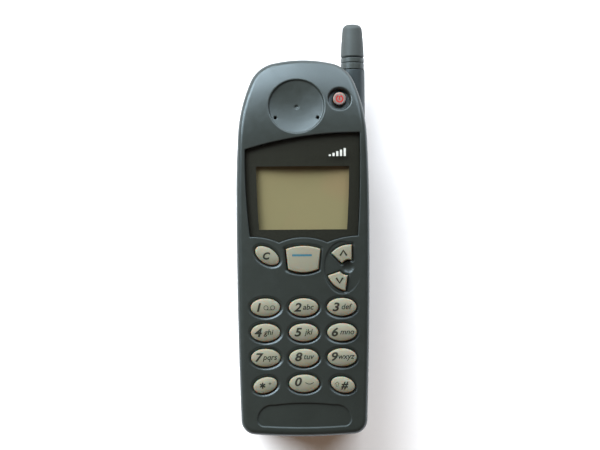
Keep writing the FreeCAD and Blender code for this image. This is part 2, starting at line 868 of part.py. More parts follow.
def sink_scroll_panel(form):
    """A form with the oval round the scroll keys, deepest at its left and fading to the right."""
    x = size("scroll_panel_x")
    reach = size("scroll_panel_reach_x")
    outline = ellipse_wire(x, size("dimple_y"), size("scroll_panel_reach_y"), reach, 90)
    point, _ = face_frame(x + reach, size("dimple_y"))
    tilt = math.degrees(math.atan(size("panel_depth") / (2 * reach)))
    floor = crown_slab(0.0)
    floor.rotate(point, V(0, 1, 0), -tilt)
    return sink_panel(form, outline, floor)


def face_form():
    """The outer form of the front cover with its two dishes and its foot panel."""
    form = body_form(0.0, 0.0, size("split_height"))
    earpiece = bowl(size("dish_radius"), size("dish_wall_width"), size("dish_wall_depth"),
                    size("dish_depth"))
    form = sink_bowl(form, size("dish_x"), size("dish_y"), size("dish_rim_round"), earpiece)
    power = bowl(size("power_dish_radius"), size("power_wall_width"), size("power_wall_depth"),
                 size("power_dish_depth"))
    form = sink_bowl(form, size("power_x"), size("power_y"), size("power_rim_round"), power)
    depth = size("panel_depth")
    return sink_panel(form, panel_outline(), body_form(depth, depth, size("split_height")))


def chamfered_key_holes(cover):
    """Cut the key holes and slope their upper edges into shallow dishes."""
    top = size("body_height") + 2
    for wire in oval_wires(size("key_gap")) + shaped_wires(size("key_gap")):
        cover = cover.cut(prism(wire, size("web_bottom"), top))
        box_of_hole = wire.BoundBox
        rim = [edge for edge in cover.Edges if on_hole_rim(edge, box_of_hole)]
        cover = cover.makeChamfer(size("key_dish_width"), size("key_dish_depth"), rim)
    return cover


def on_hole_rim(edge, hole):
    """Whether an edge is the upper rim of the hole that a flat box encloses."""
    bounds = edge.BoundBox
    inside = (bounds.XMin > hole.XMin - 0.1 and bounds.XMax < hole.XMax + 0.1
              and bounds.YMin > hole.YMin - 0.1 and bounds.YMax < hole.YMax + 0.1)
    flat = bounds.ZLength < 1.2 and bounds.XLength + bounds.YLength > 1e-3
    return inside and flat and bounds.ZMin > size("body_height") - size("face_wall") + 0.3


def front_cover_shape():
    """The snap-on front shell with every opening in its face."""
    split = size("split_height")
    outer = face_form()
    inner = body_form(size("side_wall"), size("face_wall"), split)
    cover = outer.cut(inner)
    ear_x = size("dish_x")
    ear_y = size("dish_y")
    boss_height = size("body_height") - size("ear_boss_bottom")
    boss = Part.makeCylinder(size("dish_radius") + 0.6, boss_height,
                             V(ear_x, ear_y, size("ear_boss_bottom")))
    power_boss = Part.makeCylinder(size("power_dish_radius") + 0.9, boss_height,
                                   V(size("power_x"), size("power_y"), size("power_boss_bottom")))
    cover = cover.fuse([boss.common(outer), power_boss.common(outer)])
    low = size("ear_boss_bottom") - 1
    spread = size("ear_hole_spread")
    drop = size("ear_hole_drop")
    for side in (-1, 1):
        centre = V(ear_x + side * spread, ear_y - drop, low)
        cover = cover.cut(Part.makeCylinder(size("ear_hole_radius"), 6, centre))
    cover = cover.cut(centre_mark())
    hole_radius = size("power_radius") + size("gap") * 0.6
    power_base = V(size("power_x"), size("power_y"), low - 3)
    cover = cover.cut(Part.makeCylinder(hole_radius, 10, power_base))
    cover = chamfered_key_holes(cover)
    cover = sink_dimple(sink_scroll_panel(cover))
    cover = cover.cut(window_pocket())
    return cut_side_openings(cover)


def centre_mark():
    """The ball that leaves a small dimple in the middle of the earpiece dish."""
    point, normal = face_frame(size("dish_x"), size("dish_y"))
    radius = size("centre_mark_radius")
    return Part.makeSphere(radius, point + normal * (0.5 * radius - size("dish_depth")))


def window_pocket():
    """The seat of the window, its mask and the opening to the display."""
    seat_depth = size("window_recess") + size("window_thickness") + size("mask_thickness")
    top = size("body_height") + 2
    seat = prism(window_outline(), size("body_height") - 6, top).cut(crown_slab(seat_depth))
    half = size("glass_width") / 2
    low_y = size("view_y") - size("glass_length") / 2 + 0.6
    high_y = size("view_y") + size("glass_length") / 2 - 0.6
    opening = block(-half, half, low_y, high_y, size("glass_bottom"), top)
    return seat.fuse(opening)


def cut_side_openings(cover):
    """Openings in the cover's walls for the rocker, the connector and the microphone."""
    split = size("split_height")
    wall = size("side_wall") + 1.5
    half = size("volume_length") / 2 + size("gap")
    edge = size("body_width") / 2
    rocker_top = size("volume_low") + size("volume_height") + size("gap")
    cover = cover.cut(block(-edge - 1, -edge + wall, size("volume_y") - half,
                            size("volume_y") + half, split - 1, rocker_top))
    half = size("connector_width") / 2 + size("gap")
    foot = foot_y()
    connector_top = size("connector_bottom") + size("connector_height") + size("gap")
    cover = cover.cut(block(-half, half, foot - 1, foot + wall, split - 1, connector_top))
    sound_hole = Part.makeCylinder(0.5, 4, V(size("mic_x"), foot - 1, size("mic_z")), V(0, 1, 0))
    return cover.cut(sound_hole)


def display_window_shape():
    """The clear window, crowned like the face and set a little below it."""
    recess = size("window_recess")
    plan = prism(window_outline().makeOffset2D(-0.2), size("body_height") - 6,
                 size("body_height") + 2)
    return plan.common(crown_slab(recess)).cut(crown_slab(recess + size("window_thickness")))


def window_mask_shape():
    """The dark printed film behind the window, with the clear opening in it."""
    top = size("window_recess") + size("window_thickness")
    plan = prism(window_outline().makeOffset2D(-0.2), size("body_height") - 6,
                 size("body_height") + 2)
    view = prism(view_outline(), size("body_height") - 6, size("body_height") + 2)
    film = plan.common(crown_slab(top)).cut(crown_slab(top + size("mask_thickness")))
    return film.cut(view)


def keymat_web_shape():
    """The flexible sheet between the keys, with a hole round each key's flange."""
    low = size("web_bottom")
    half = size("web_width") / 2
    sheet_block = block(-half, half, size("web_y") - size("web_length") / 2,
                        size("web_y") + size("web_length") / 2, low, low + size("web_thickness"))
    corners = [edge for edge in sheet_block.Edges if edge.BoundBox.ZLength > 0.5]
    web = sheet_block.makeFillet(4, corners)
    margin = size("key_flange") + size("web_gap")
    for wire in oval_wires(margin) + shaped_wires(margin):
        web = web.cut(prism(wire, low - 1, low + 3))
    return web


# ---------------------------------------------------------------------------------------
# Rear cover
# ---------------------------------------------------------------------------------------
def rear_cover_shape():
    """The rear shell: upper block, battery bay, side rails and antenna boss."""
    inset = size("cover_inset")
    wall = inset + size("side_wall") - 0.1
    split = size("split_height")
    bay_top = size("bay_top_y")
    back = size("block_back_low")
    solid = plan_block(inset, 0, split)
    solid = solid.cut(sloped_back())
    rim = [edge for edge in solid.Edges if edge.BoundBox.ZMax < split - 0.5
           and edge.BoundBox.Center.y > bay_top and edge.BoundBox.Center.z > back - 0.5]
    solid = solid.makeFillet(size("block_round"), rim)
    below_bay = block(-FAR, FAR, -FAR, bay_top, -FAR, size("rail_bottom"))
    half = size("battery_width") / 2 + size("gap")
    bay = block(-half, half, size("battery_low_y") - size("gap"), bay_top, 0,
                size("floor_bottom"))
    floor_top = size("floor_bottom") + size("floor_thickness")
    hollow = plan_block(wall, floor_top, split + 1)
    buzzer_room = block(-18, 13, bay_top + 1.6, 58, 11, floor_top + 1)
    solid = solid.cut(below_bay.fuse([bay, hollow, buzzer_room]))
    solid = solid.cut(heel_bead(size("gap") / 2))
    boss_start = size("antenna_boss_start")
    boss_length = size("antenna_boss_end") - boss_start
    boss_base = V(size("antenna_x"), boss_start, size("antenna_z"))
    boss = Part.makeCylinder(size("antenna_boss_radius"), boss_length, boss_base, V(0, 1, 0))
    solid = solid.fuse(boss)
    bore_base = boss_base + V(0, boss_length - size("boss_bore_depth"), 0)
    bore = Part.makeCylinder(size("stud_radius") + 0.05, FAR, bore_base, V(0, 1, 0))
    return cut_floor_openings(solid.cut(bore))


def sloped_back():
    """What lies behind the upper block's sloping back."""
    slab = block(-FAR, FAR, -10, FAR, -FAR, 0)
    slab.rotate(V(0, 0, 0), V(1, 0, 0), size("block_slope"))
    slab.translate(V(0, size("bay_top_y"), size("block_back_low")))
    return slab


def cut_floor_openings(cover):
    """Openings for the SIM card, battery pins, screws and bottom connector."""
    low = size("floor_bottom")
    top = low + size("floor_thickness")
    half = size("sim_width") / 2
    sim_high = size("sim_y") + size("sim_length") / 2 + 0.2
    sim_low = size("sim_y") - size("sim_length") / 2 - 21
    groove = block(-half - 0.2, half + 0.2, sim_low, sim_high, size("sim_bottom") - 0.1, top + 1)
    mouth = block(-half + 1, half - 1, sim_low, sim_high, low - 1, top)
    plug_half = size("plug_width") / 2 + size("gap")
    plug_reach = size("plug_length") / 2 + size("gap")
    pins = block(-plug_half, plug_half, size("plug_y") - plug_reach,
                 size("plug_y") + plug_reach, low - 1, top + 1)
    half = size("connector_width") / 2 + size("gap")
    foot = foot_y()
    notch = block(-half, half, foot - 1, foot + 3, size("connector_bottom") - 0.2, 20)
    cover = cover.cut(groove.fuse([mouth, pins, notch]))
    for x, y in screw_places():
        shank = Part.makeCylinder(size("screw_radius") + 0.1, 5, V(x, y, low - 1))
        head = Part.makeCylinder(size("screw_head_radius") + 0.2, size("screw_head_height") + 1.1,
                                 V(x, y, low - 1))
        cover = cover.cut(shank.fuse(head))
    return cover


def screw_places():
    """Centres of the four case screws."""
    x = size("screw_x")
    return [(side * x, y) for side in (-1, 1)
            for y in (size("screw_low_y"), size("screw_high_y"))]


# ---------------------------------------------------------------------------------------
# Battery case and volume rocker
# ---------------------------------------------------------------------------------------
def battery_case_shape():
    """The pack's case: the phone's lower back, with an inner part that fills the bay."""
    inset = size("cover_inset")
    split = size("battery_split")
    top_y = size("battery_top_y")
    half = size("battery_width") / 2
    wall = size("battery_wall")
    low_y = size("battery_low_y")
    back = plan_block(inset, 0, split)
    rim = [edge for edge in back.Edges if edge.BoundBox.ZMax < 0.1]
    back = back.makeFillet(size("battery_round"), rim)
    back = back.common(block(-FAR, FAR, -FAR, top_y, -FAR, split))
    inner = block(-half, half, low_y, top_y - 0.3, split, size("battery_top"))
    case = back.fuse([inner, heel_bead(0.0)])
    room_top = size("battery_top") - size("lid_thickness")
    room = block(-half + wall, half - wall, low_y + wall, 20.9, wall, room_top)
    seat = block(-half + 0.9, half - 0.9, low_y + 0.9, top_y - 1.2, room_top,
                 size("battery_top") + 1)
    case = case.cut(room.fuse(seat))
    half = size("catch_width") / 2 + 0.2
    pocket = block(-half, half, size("catch_pocket_low_y"), top_y + 1, -1,
                   size("catch_height") + 0.8)
    return case.cut(pocket)


def heel_bead(clearance):
    """The bead across the battery's foot, or the groove for it in the rear cover."""
    length = size("heel_length") + 2 * clearance
    foot = foot_y() + size("cover_inset")
    return Part.makeCylinder(size("heel_radius") + clearance, length,
                             V(-length / 2, foot, size("battery_split")), V(1, 0, 0))


def volume_key_shape():
    """The rocker: a pad through the cover's wall, a flange that keeps it in and a pivot."""
    low = size("volume_low")
    high = low + size("volume_height")
    half = size("volume_length") / 2
    flange_start = size("side_wall") + size("volume_flange_gap")
    flange_end = flange_start + size("volume_flange")
    y = size("volume_y")

    def strip(outer, inner, reach, top):
        ring = plan_block(outer, low, top).cut(plan_block(inner, low, top))
        return ring.common(block(-FAR, 0, y - reach, y + reach, low, top))

    pad = strip(-size("volume_proud"), flange_start, half, high)
    flange = strip(flange_start, flange_end, half + size("volume_flange_reach"),
                   high + size("volume_flange"))
    pivot = Part.makeCylinder(size("volume_pivot_radius"), high + 1.2 - (low - 0.4),
                              V(size("volume_pivot_x"), y, low - 0.4))
    return pad.fuse([flange, pivot])


# ---------------------------------------------------------------------------------------
# Sub-parts inside the phone
# ---------------------------------------------------------------------------------------
def screw_centres():
    """The case screws' centres as expressions."""
    return [(f"{side} * screw_x", y) for side in ("-1", "1")
            for y in ("screw_low_y", "screw_high_y")]


def make_main_board():
    """The main board with its screw holes, and the chips on its upper side."""
    holes = [(x, f"{y} - main_y") for x, y in screw_centres()]
    board = plate("main_board_body", "main_width", "main_length", "board_thickness",
                  y="main_y", z="main_bottom", corner="3",
                  holes=[("screw_radius + 0.3", holes)])
    node(board, "main_board")
    chips = (("12", "12", 0, -34), ("9", "11", -8, -12), ("8", "8", 7, -12), ("7", "7", 8, 12),
             ("5", "4", -4, 14))
    members = [box(f"chip_{place_number}", width, length, "1.2", str(x), str(y),
                   "main_bottom + board_thickness")
               for place_number, (width, length, x, y) in enumerate(chips)]
    group("board_chips", members)


def make_shield(name, width, length, y):
    """A pressed shield can below the main board, open towards it."""
    outer = box(f"{name}_outer", width, length, "shield_height", "0", y,
                "main_bottom - shield_height")
    inner = box(f"{name}_inner", f"{width} - 2 * shield_wall", f"{length} - 2 * shield_wall",
                "shield_height", "0", y, "main_bottom - shield_height + shield_wall")
    return node(cut(f"{name}_can", outer, inner), name)


def make_chassis():
    """The stiff plate with four bosses that the case screws bite into."""
    deck = plate("chassis_plate", "chassis_width", "chassis_length", "chassis_thickness",
                 y="chassis_y", z="chassis_bottom", corner="6")
    boss_low = "main_bottom + board_thickness + 0.2"
    boss_height = f"chassis_bottom + 0.5 * chassis_thickness - ({boss_low})"
    bosses = []
    bores = []
    for place_number, (x, y) in enumerate(screw_centres()):
        bosses.append(cylinder(f"chassis_boss_{place_number}", "2", boss_height, x, y, boss_low))
        bores.append(cylinder(f"chassis_bore_{place_number}", "screw_radius + 0.02", "10", x, y,
                              f"{boss_low} - 1"))
    solid = fuse("chassis_solid", deck, *bosses)
    node(cut("chassis_bored", solid, *bores), "chassis")


def make_case_screws():
    """Four case screws, put in from the battery bay."""
    members = []
    head_bottom = "floor_bottom + 0.05"
    length = "chassis_bottom + 0.6 - floor_bottom"
    for place_number, (x, y) in enumerate(screw_centres()):
        head = cylinder(f"screw_head_{place_number}", "screw_head_radius", "screw_head_height",
                        x, y, head_bottom)
        shank = cylinder(f"screw_shank_{place_number}", "screw_radius", length, x, y, head_bottom)
        drive = doc.addObject("Part::Prism", f"screw_drive_{place_number}")
        bind(drive, Circumradius="0.6 * screw_radius", Height="0.5 * screw_head_height")
        place(drive, x, y, head_bottom)
        solid = fuse(f"screw_blank_{place_number}", head, shank)
        members.append(cut(f"screw_{place_number}", solid, drive))
    group("case_screws", members)


def make_display():
    """Display frame, light guide, connector strip and glass, from the chassis up."""
    floor = "chassis_bottom + chassis_thickness"
    frame = plate("lcd_frame_body", "frame_width", "frame_length", f"frame_top - ({floor})",
                  y="view_y", z=floor, corner="1.5",
                  windows=[("glass_width + 0.2", "glass_length + 0.2")])
    node(frame, "lcd_frame")
    guide = box("light_guide_body", "glass_width - 0.4", "glass_length - 4", "1.6",
                "0", "view_y - 1.6", floor)
    node(guide, "light_guide")
    strip = box("lcd_strip", "glass_width - 4", "2", f"glass_bottom - ({floor})",
                "0", "view_y + glass_length / 2 - 1.4", floor)
    node(strip, "lcd_connector")
    glass = plate("lcd_glass_body", "glass_width", "glass_length", "glass_thickness",
                  y="view_y", z="glass_bottom", corner="0.4")
    node(glass, "lcd_glass")


def make_keypad():
    """Keypad board, with a snap dome below every key and lamps between them."""
    board = plate("keypad_board_body", "keypad_width", "keypad_length", "board_thickness",
                  y="web_y", z="keypad_bottom", corner="3")
    node(board, "keypad_board")
    top = "keypad_bottom + board_thickness"
    spots = [(x, y) for _, x, y, *_ in OVAL_KEYS] + [(x, y) for _, _, x, y, *_ in SHAPED_KEYS]
    domes = [cylinder(f"snap_dome_{place_number}", "1.9", "0.3", x, y, top)
             for place_number, (x, y) in enumerate(spots)]
    group("key_domes", domes)
    lamps = [box(f"lamp_{side}_{row}", "1.6", "0.9", "0.7", f"{side} * key_column / 2",
                 f"key_row_first - ({row} - 0.5) * key_row_step", top)
             for side in (-1, 1) for row in (0, 1, 2)]
    group("backlight_leds", lamps)


def make_sound_parts():
    """Earpiece speaker and its gasket, buzzer, microphone and its rubber boot."""
    speaker_low = "chassis_bottom + chassis_thickness"
    body = cylinder("speaker_body", "speaker_radius", "1.6", "dish_x", "speaker_y", speaker_low)
    mouth = cylinder("speaker_mouth", "speaker_radius - 2", "0.5", "dish_x", "speaker_y",
                     f"{speaker_low} + 1.2")
    node(cut("speaker_solid", body, mouth), "earpiece_speaker")
    outer = cylinder("gasket_outer", "speaker_radius + 0.4", "0.8", "dish_x", "speaker_y",
                     "ear_boss_bottom - 0.8")
    inner = cylinder("gasket_inner", "speaker_radius - 0.5", "0.8", "dish_x", "speaker_y",
                     "ear_boss_bottom - 0.8")
    node(cut("gasket_ring", outer, inner), "earpiece_gasket")
    buzzer = cylinder("buzzer_body", "6.3", "2.6", "-6", "45", "11.6")
    vent = cylinder("buzzer_vent", "1.2", "0.6", "-6", "45", "13.8")
    node(cut("buzzer_solid", buzzer, vent), "buzzer")
    boot_low = "mic_z - 2.4"
    boot = box("boot_block", "6", "4.6", "4.8", "mic_x", "-60.9", boot_low)
    room = cylinder("boot_room", "1.9", "3.2", "mic_x", "-61.4", "mic_z", along_y=True)
    canal = cylinder("boot_canal", "0.5", "3", "mic_x", "-64", "mic_z", along_y=True)
    node(cut("boot_solid", boot, room, canal), "mic_boot")
    node(cylinder("mic_body", "1.9", "2.2", "mic_x", "-61.4", "mic_z", along_y=True),
         "microphone")


def make_bottom_connector():
    """The bottom connector block with the charger jack and its centre pin."""
    block_body = box("connector_block", "connector_width", "4.5", "connector_height", "0",
                     "connector_face_y + 2.25", "connector_bottom")
    seat = cylinder("connector_seat", "jack_radius", "6", "0", "connector_face_y - 1", "jack_z",
                    along_y=True)
    slots = [box(f"connector_slot_{side}", "4.2", "1.2", "2.4", f"{side} * 8.6",
                 "connector_face_y", "jack_z - 1.2") for side in (-1, 1)]
    node(cut("connector_solid", block_body, seat, *slots), "system_connector")
    barrel = cylinder("jack_barrel", "jack_radius", "jack_length", "0", "connector_face_y",
                      "jack_z", along_y=True)
    bore = cylinder("jack_bore", "jack_bore_radius", "jack_length - jack_floor", "0",
                    "connector_face_y", "jack_z", along_y=True)
    node(cut("jack_solid", barrel, bore), "dc_jack")
    node(cylinder("jack_pin_body", "jack_pin_radius", "jack_pin_length", "0",
                  "connector_face_y + jack_length - jack_floor - jack_pin_length", "jack_z",
                  along_y=True), "dc_jack_pin")


def make_battery_side_parts():
    """SIM reader, battery connector and its pins, back-up cell and side switches."""
    reader = box("sim_reader_body", "sim_width + 1", "sim_length + 1.6",
                 "main_bottom - sim_bottom - sim_thickness - 0.1", "0", "sim_y",
                 "sim_bottom + sim_thickness + 0.1")
    relief = box("sim_reader_relief", "sim_width - 6", "sim_length - 5", "0.4", "0", "sim_y",
                 "sim_bottom + sim_thickness + 0.1")
    node(cut("sim_reader_solid", reader, relief), "sim_reader")
    body = box("battery_plug", "plug_width", "plug_length", "main_bottom - floor_bottom - 0.6",
               "0", "plug_y", "floor_bottom + 0.6")
    pins = [cylinder(f"battery_pin_{column}", "0.6", "1", f"({column} - 1.5) * pad_pitch",
                     "plug_y", "battery_top + 0.15") for column in range(4)]
    node(fuse("battery_plug_solid", body, *pins), "battery_connector")
    node(cylinder("backup_cell_body", "4.8", "1.8", "-9", "36",
                  "main_bottom + board_thickness"), "backup_cell")
    spots = (("-body_width / 2 + 5.2", "volume_y - 6"), ("-body_width / 2 + 5.2", "volume_y + 6"))
    switches = [box(f"side_switch_{place_number}", "1.4", "3.2", "2.4", x, y,
                    "main_bottom + board_thickness")
                for place_number, (x, y) in enumerate(spots)]
    switches.append(box("power_switch", "3", "3", "0.6", "power_x", "power_y",
                        "chassis_bottom + chassis_thickness"))
    group("side_switches", switches)


def make_antenna():
    """Stub antenna: threaded stud with collar, core, cap with a rounded tip, and its clip."""
    x = "antenna_x"
    z = "antenna_z"
    stud = cylinder("antenna_stud", "stud_radius", "10.5", x, "antenna_boss_end - 10.5", z,
                    along_y=True)
    start = "antenna_boss_end + 0.3"
    core = cylinder("collar_core", "cap_base_radius - collar_groove_depth",
                    f"collar_end - ({start})", x, start, z, along_y=True)
    lower = cylinder("collar_lower_ring", "cap_base_radius", f"collar_groove - ({start})", x,
                     start, z, along_y=True)
    upper = cylinder("collar_upper_ring", "cap_base_radius",
                     "collar_end - collar_groove - collar_groove_width", x,
                     "collar_groove + collar_groove_width", z, along_y=True)
    neck = cylinder("collar_neck", "stud_radius", "0.5", x, "antenna_boss_end - 0.1", z,
                    along_y=True)
    node(fuse("collar_solid", stud, core, lower, upper, neck), "antenna_collar")
    node(cylinder("antenna_core_body", "1.6", "8", x, "collar_end", z, along_y=True),
         "antenna_core")
    node(feature("antenna_cap_body", antenna_cap_shape(), x, "0", z), "antenna_cap")
    clip = box("antenna_clip_body", "2.4", "6", "1.2", "antenna_x - 5.9", "54",
               "main_bottom - 1.4")
    node(clip, "antenna_clip")


def antenna_cap_shape():
    """The cap, turned about the antenna's axis, hollow for the core."""
    start = size("collar_end") + 0.2
    tip = size("antenna_tip")
    base_radius = size("cap_base_radius")
    tip_radius = size("cap_tip_radius")
    shoulder = tip - 1.8
    profile = closed(line(V(1.65, start, 0), V(base_radius - 0.35, start, 0)),
                     line(V(base_radius - 0.35, start, 0), V(base_radius, start + 0.5, 0)),
                     arc(V(base_radius, start + 0.5, 0), V(base_radius - 0.15, start + 4, 0),
                         V(tip_radius, shoulder, 0)),
                     arc(V(tip_radius, shoulder, 0), V(tip_radius - 0.7, tip - 0.5, 0),
                         V(tip_radius - 2.2, tip, 0)),
                     line(V(tip_radius - 2.2, tip, 0), V(0, tip, 0)),
                     line(V(0, tip, 0), V(0, start + 8, 0)),
                     line(V(0, start + 8, 0), V(1.65, start + 8, 0)),
                     line(V(1.65, start + 8, 0), V(1.65, start, 0)))
    return Part.Face(profile).revolve(V(0, 0, 0), V(0, 1, 0), 360)


def make_battery():
    """Battery pack: case, lid, cells, contact pads, catch and its spring."""
    node(feature("battery_case_body", battery_case_shape()), "battery_case")
    lid_length = "battery_top_y - 1.2 - battery_low_y - 0.9 - 0.1"
    lid_y = "(battery_top_y - 1.2 + battery_low_y + 0.9) / 2"
    lid = plate("battery_lid_body", "battery_width - 1.9", lid_length, "lid_thickness",
                y=lid_y, z="battery_top - lid_thickness", corner="0.5",
                windows=[("plug_width + 1", "2.2", "0", f"plug_y - ({lid_y})")])
    node(lid, "battery_lid")
    cells = [box(f"cell_{place_number}", "cell_width", "cell_length", "cell_height", "0",
                 f"battery_low_y + 2.2 + ({place_number} + 0.5) * (cell_length + 0.6)",
                 "battery_wall + 0.1") for place_number in range(int(size("cell_count")))]
    group("battery_cells", cells)
    pads = [box(f"battery_pad_{column}", "2.4", "2", "0.6", f"({column} - 1.5) * pad_pitch",
                "plug_y", "battery_top - 0.6") for column in range(4)]
    group("battery_contacts", pads)
    button = box("catch_body", "catch_width", "catch_length", "catch_height", "0", "catch_y",
                 "0.4")
    grips = [box(f"catch_groove_{row}", "catch_width - 3", "0.4", "0.3", "0",
                 f"catch_y + {row} * 0.9", "0.4") for row in (-1, 0, 1)]
    node(cut("catch_solid", button, *grips), "battery_catch")
    make_catch_spring()


def make_catch_spring():
    """The catch's return spring: close rings joined into one tube wall."""
    low = "catch_pocket_low_y + 0.1"
    length = "catch_y - catch_length / 2 - 0.1 - (catch_pocket_low_y + 0.1)"
    outer = cylinder("spring_outer", "spring_radius", length, "0", low, "2.1", along_y=True)
    inner = cylinder("spring_inner", "spring_radius - spring_wire", length, "0", low, "2.1",
                     along_y=True)
    node(cut("spring_tube", outer, inner), "catch_spring")


def make_sim_card():
    """The SIM card, with its cut corner, in the rear cover's grooves."""
    card = box("sim_blank", "sim_width", "sim_length", "sim_thickness", "0", "sim_y",
               "sim_bottom")
    corner = doc.addObject("Part::Prism", "sim_corner")
    corner.Polygon = 4
    bind(corner, Circumradius="3", Height="sim_thickness + 1")
    place(corner, "sim_width / 2", "sim_y + sim_length / 2", "sim_bottom - 0.5")
    node(cut("sim_solid", card, corner), "sim_card")


# ---------------------------------------------------------------------------------------
# Assembly
# ---------------------------------------------------------------------------------------
def build():
    """Make every sub-part of the phone."""
    node(feature("front_cover_body", front_cover_shape()), "front_cover")
    node(feature("display_window_body", display_window_shape()), "display_window")
    node(feature("window_mask_body", window_mask_shape()), "window_mask")
    node(feature("keymat_web_body", keymat_web_shape()), "keymat_web")
    for key in OVAL_KEYS:
        oval_key(*key)
    for key in SHAPED_KEYS:
        shaped_key(*key)
    power_key()
    node(feature("rear_cover_body", rear_cover_shape()), "rear_cover")
    make_chassis()
    make_main_board()
    make_shield("baseband_shield", "27", "36", "-37")
    make_shield("rf_shield", "30", "17", "41.5")
    make_case_screws()
    make_display()
    make_keypad()
    make_sound_parts()
    make_bottom_connector()
    make_battery_side_parts()
    make_antenna()
    node(feature("volume_key_body", volume_key_shape()), "volume_key")
    make_battery()
    make_sim_card()


def check_and_export():
    """Stop on any failed object or bad shape, then write one file per node."""
    doc.recompute()
    for obj in doc.Objects:
        if {"Invalid", "Error"} & set(obj.State):
            raise SystemExit(f"{obj.Name} failed: {obj.State}")
    os.makedirs("parts", exist_ok=True)
    for obj in nodes:
        shape = obj.Shape
        if shape.isNull() or not shape.isValid() or not shape.Solids:
            raise SystemExit(f"{obj.Label} has a bad shape")
        shape.exportStep(f"parts/{obj.Label}.step")
        print(f"{obj.Label}: {len(shape.Solids)} solid(s), {shape.Volume:.1f} mm3")
    print(f"{len(nodes)} nodes")


build()
check_and_export()
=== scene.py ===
"""Looks of an early mobile phone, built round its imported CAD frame."""
import json
import math

import bmesh
import bpy
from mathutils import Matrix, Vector
from mathutils.bvhtree import BVHTree


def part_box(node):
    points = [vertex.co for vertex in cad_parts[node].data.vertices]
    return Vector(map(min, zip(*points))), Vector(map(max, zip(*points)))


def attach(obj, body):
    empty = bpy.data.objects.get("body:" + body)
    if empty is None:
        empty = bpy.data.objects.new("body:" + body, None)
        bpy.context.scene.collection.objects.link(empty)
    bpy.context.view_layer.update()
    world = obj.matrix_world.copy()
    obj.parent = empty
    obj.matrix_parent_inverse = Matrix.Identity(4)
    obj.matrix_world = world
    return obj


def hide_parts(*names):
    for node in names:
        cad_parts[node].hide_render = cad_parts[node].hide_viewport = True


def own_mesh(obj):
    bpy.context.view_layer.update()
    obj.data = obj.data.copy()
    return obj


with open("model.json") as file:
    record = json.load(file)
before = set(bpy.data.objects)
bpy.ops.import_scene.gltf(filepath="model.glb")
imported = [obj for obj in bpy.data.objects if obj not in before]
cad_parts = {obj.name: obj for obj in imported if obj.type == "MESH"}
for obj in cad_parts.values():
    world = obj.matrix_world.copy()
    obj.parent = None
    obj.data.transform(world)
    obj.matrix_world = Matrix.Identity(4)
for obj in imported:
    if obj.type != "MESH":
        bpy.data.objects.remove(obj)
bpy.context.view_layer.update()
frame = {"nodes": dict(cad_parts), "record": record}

MM = 0.001
# rays cast to find a rounded edge's normal
BEVEL_SAMPLES = 8
# cosine between the true and the rounded normal, on an edge and on a plain face
EDGE_COSINE = 0.75
FACE_COSINE = 0.995


# ---------------------------------------------------------------------------------------
# Colour and node helpers
# ---------------------------------------------------------------------------------------
def srgb(red, green, blue):
    """Linear colour of an 8-bit display colour."""
    def linear(level):
        level /= 255
        return level / 12.92 if level <= 0.04045 else ((level + 0.055) / 1.055) ** 2.4
    return (linear(red), linear(green), linear(blue), 1.0)


def scaled(colour, factor):
    """A colour made lighter or darker."""
    return tuple(min(1.0, part * factor) for part in colour[:3]) + (1.0,)


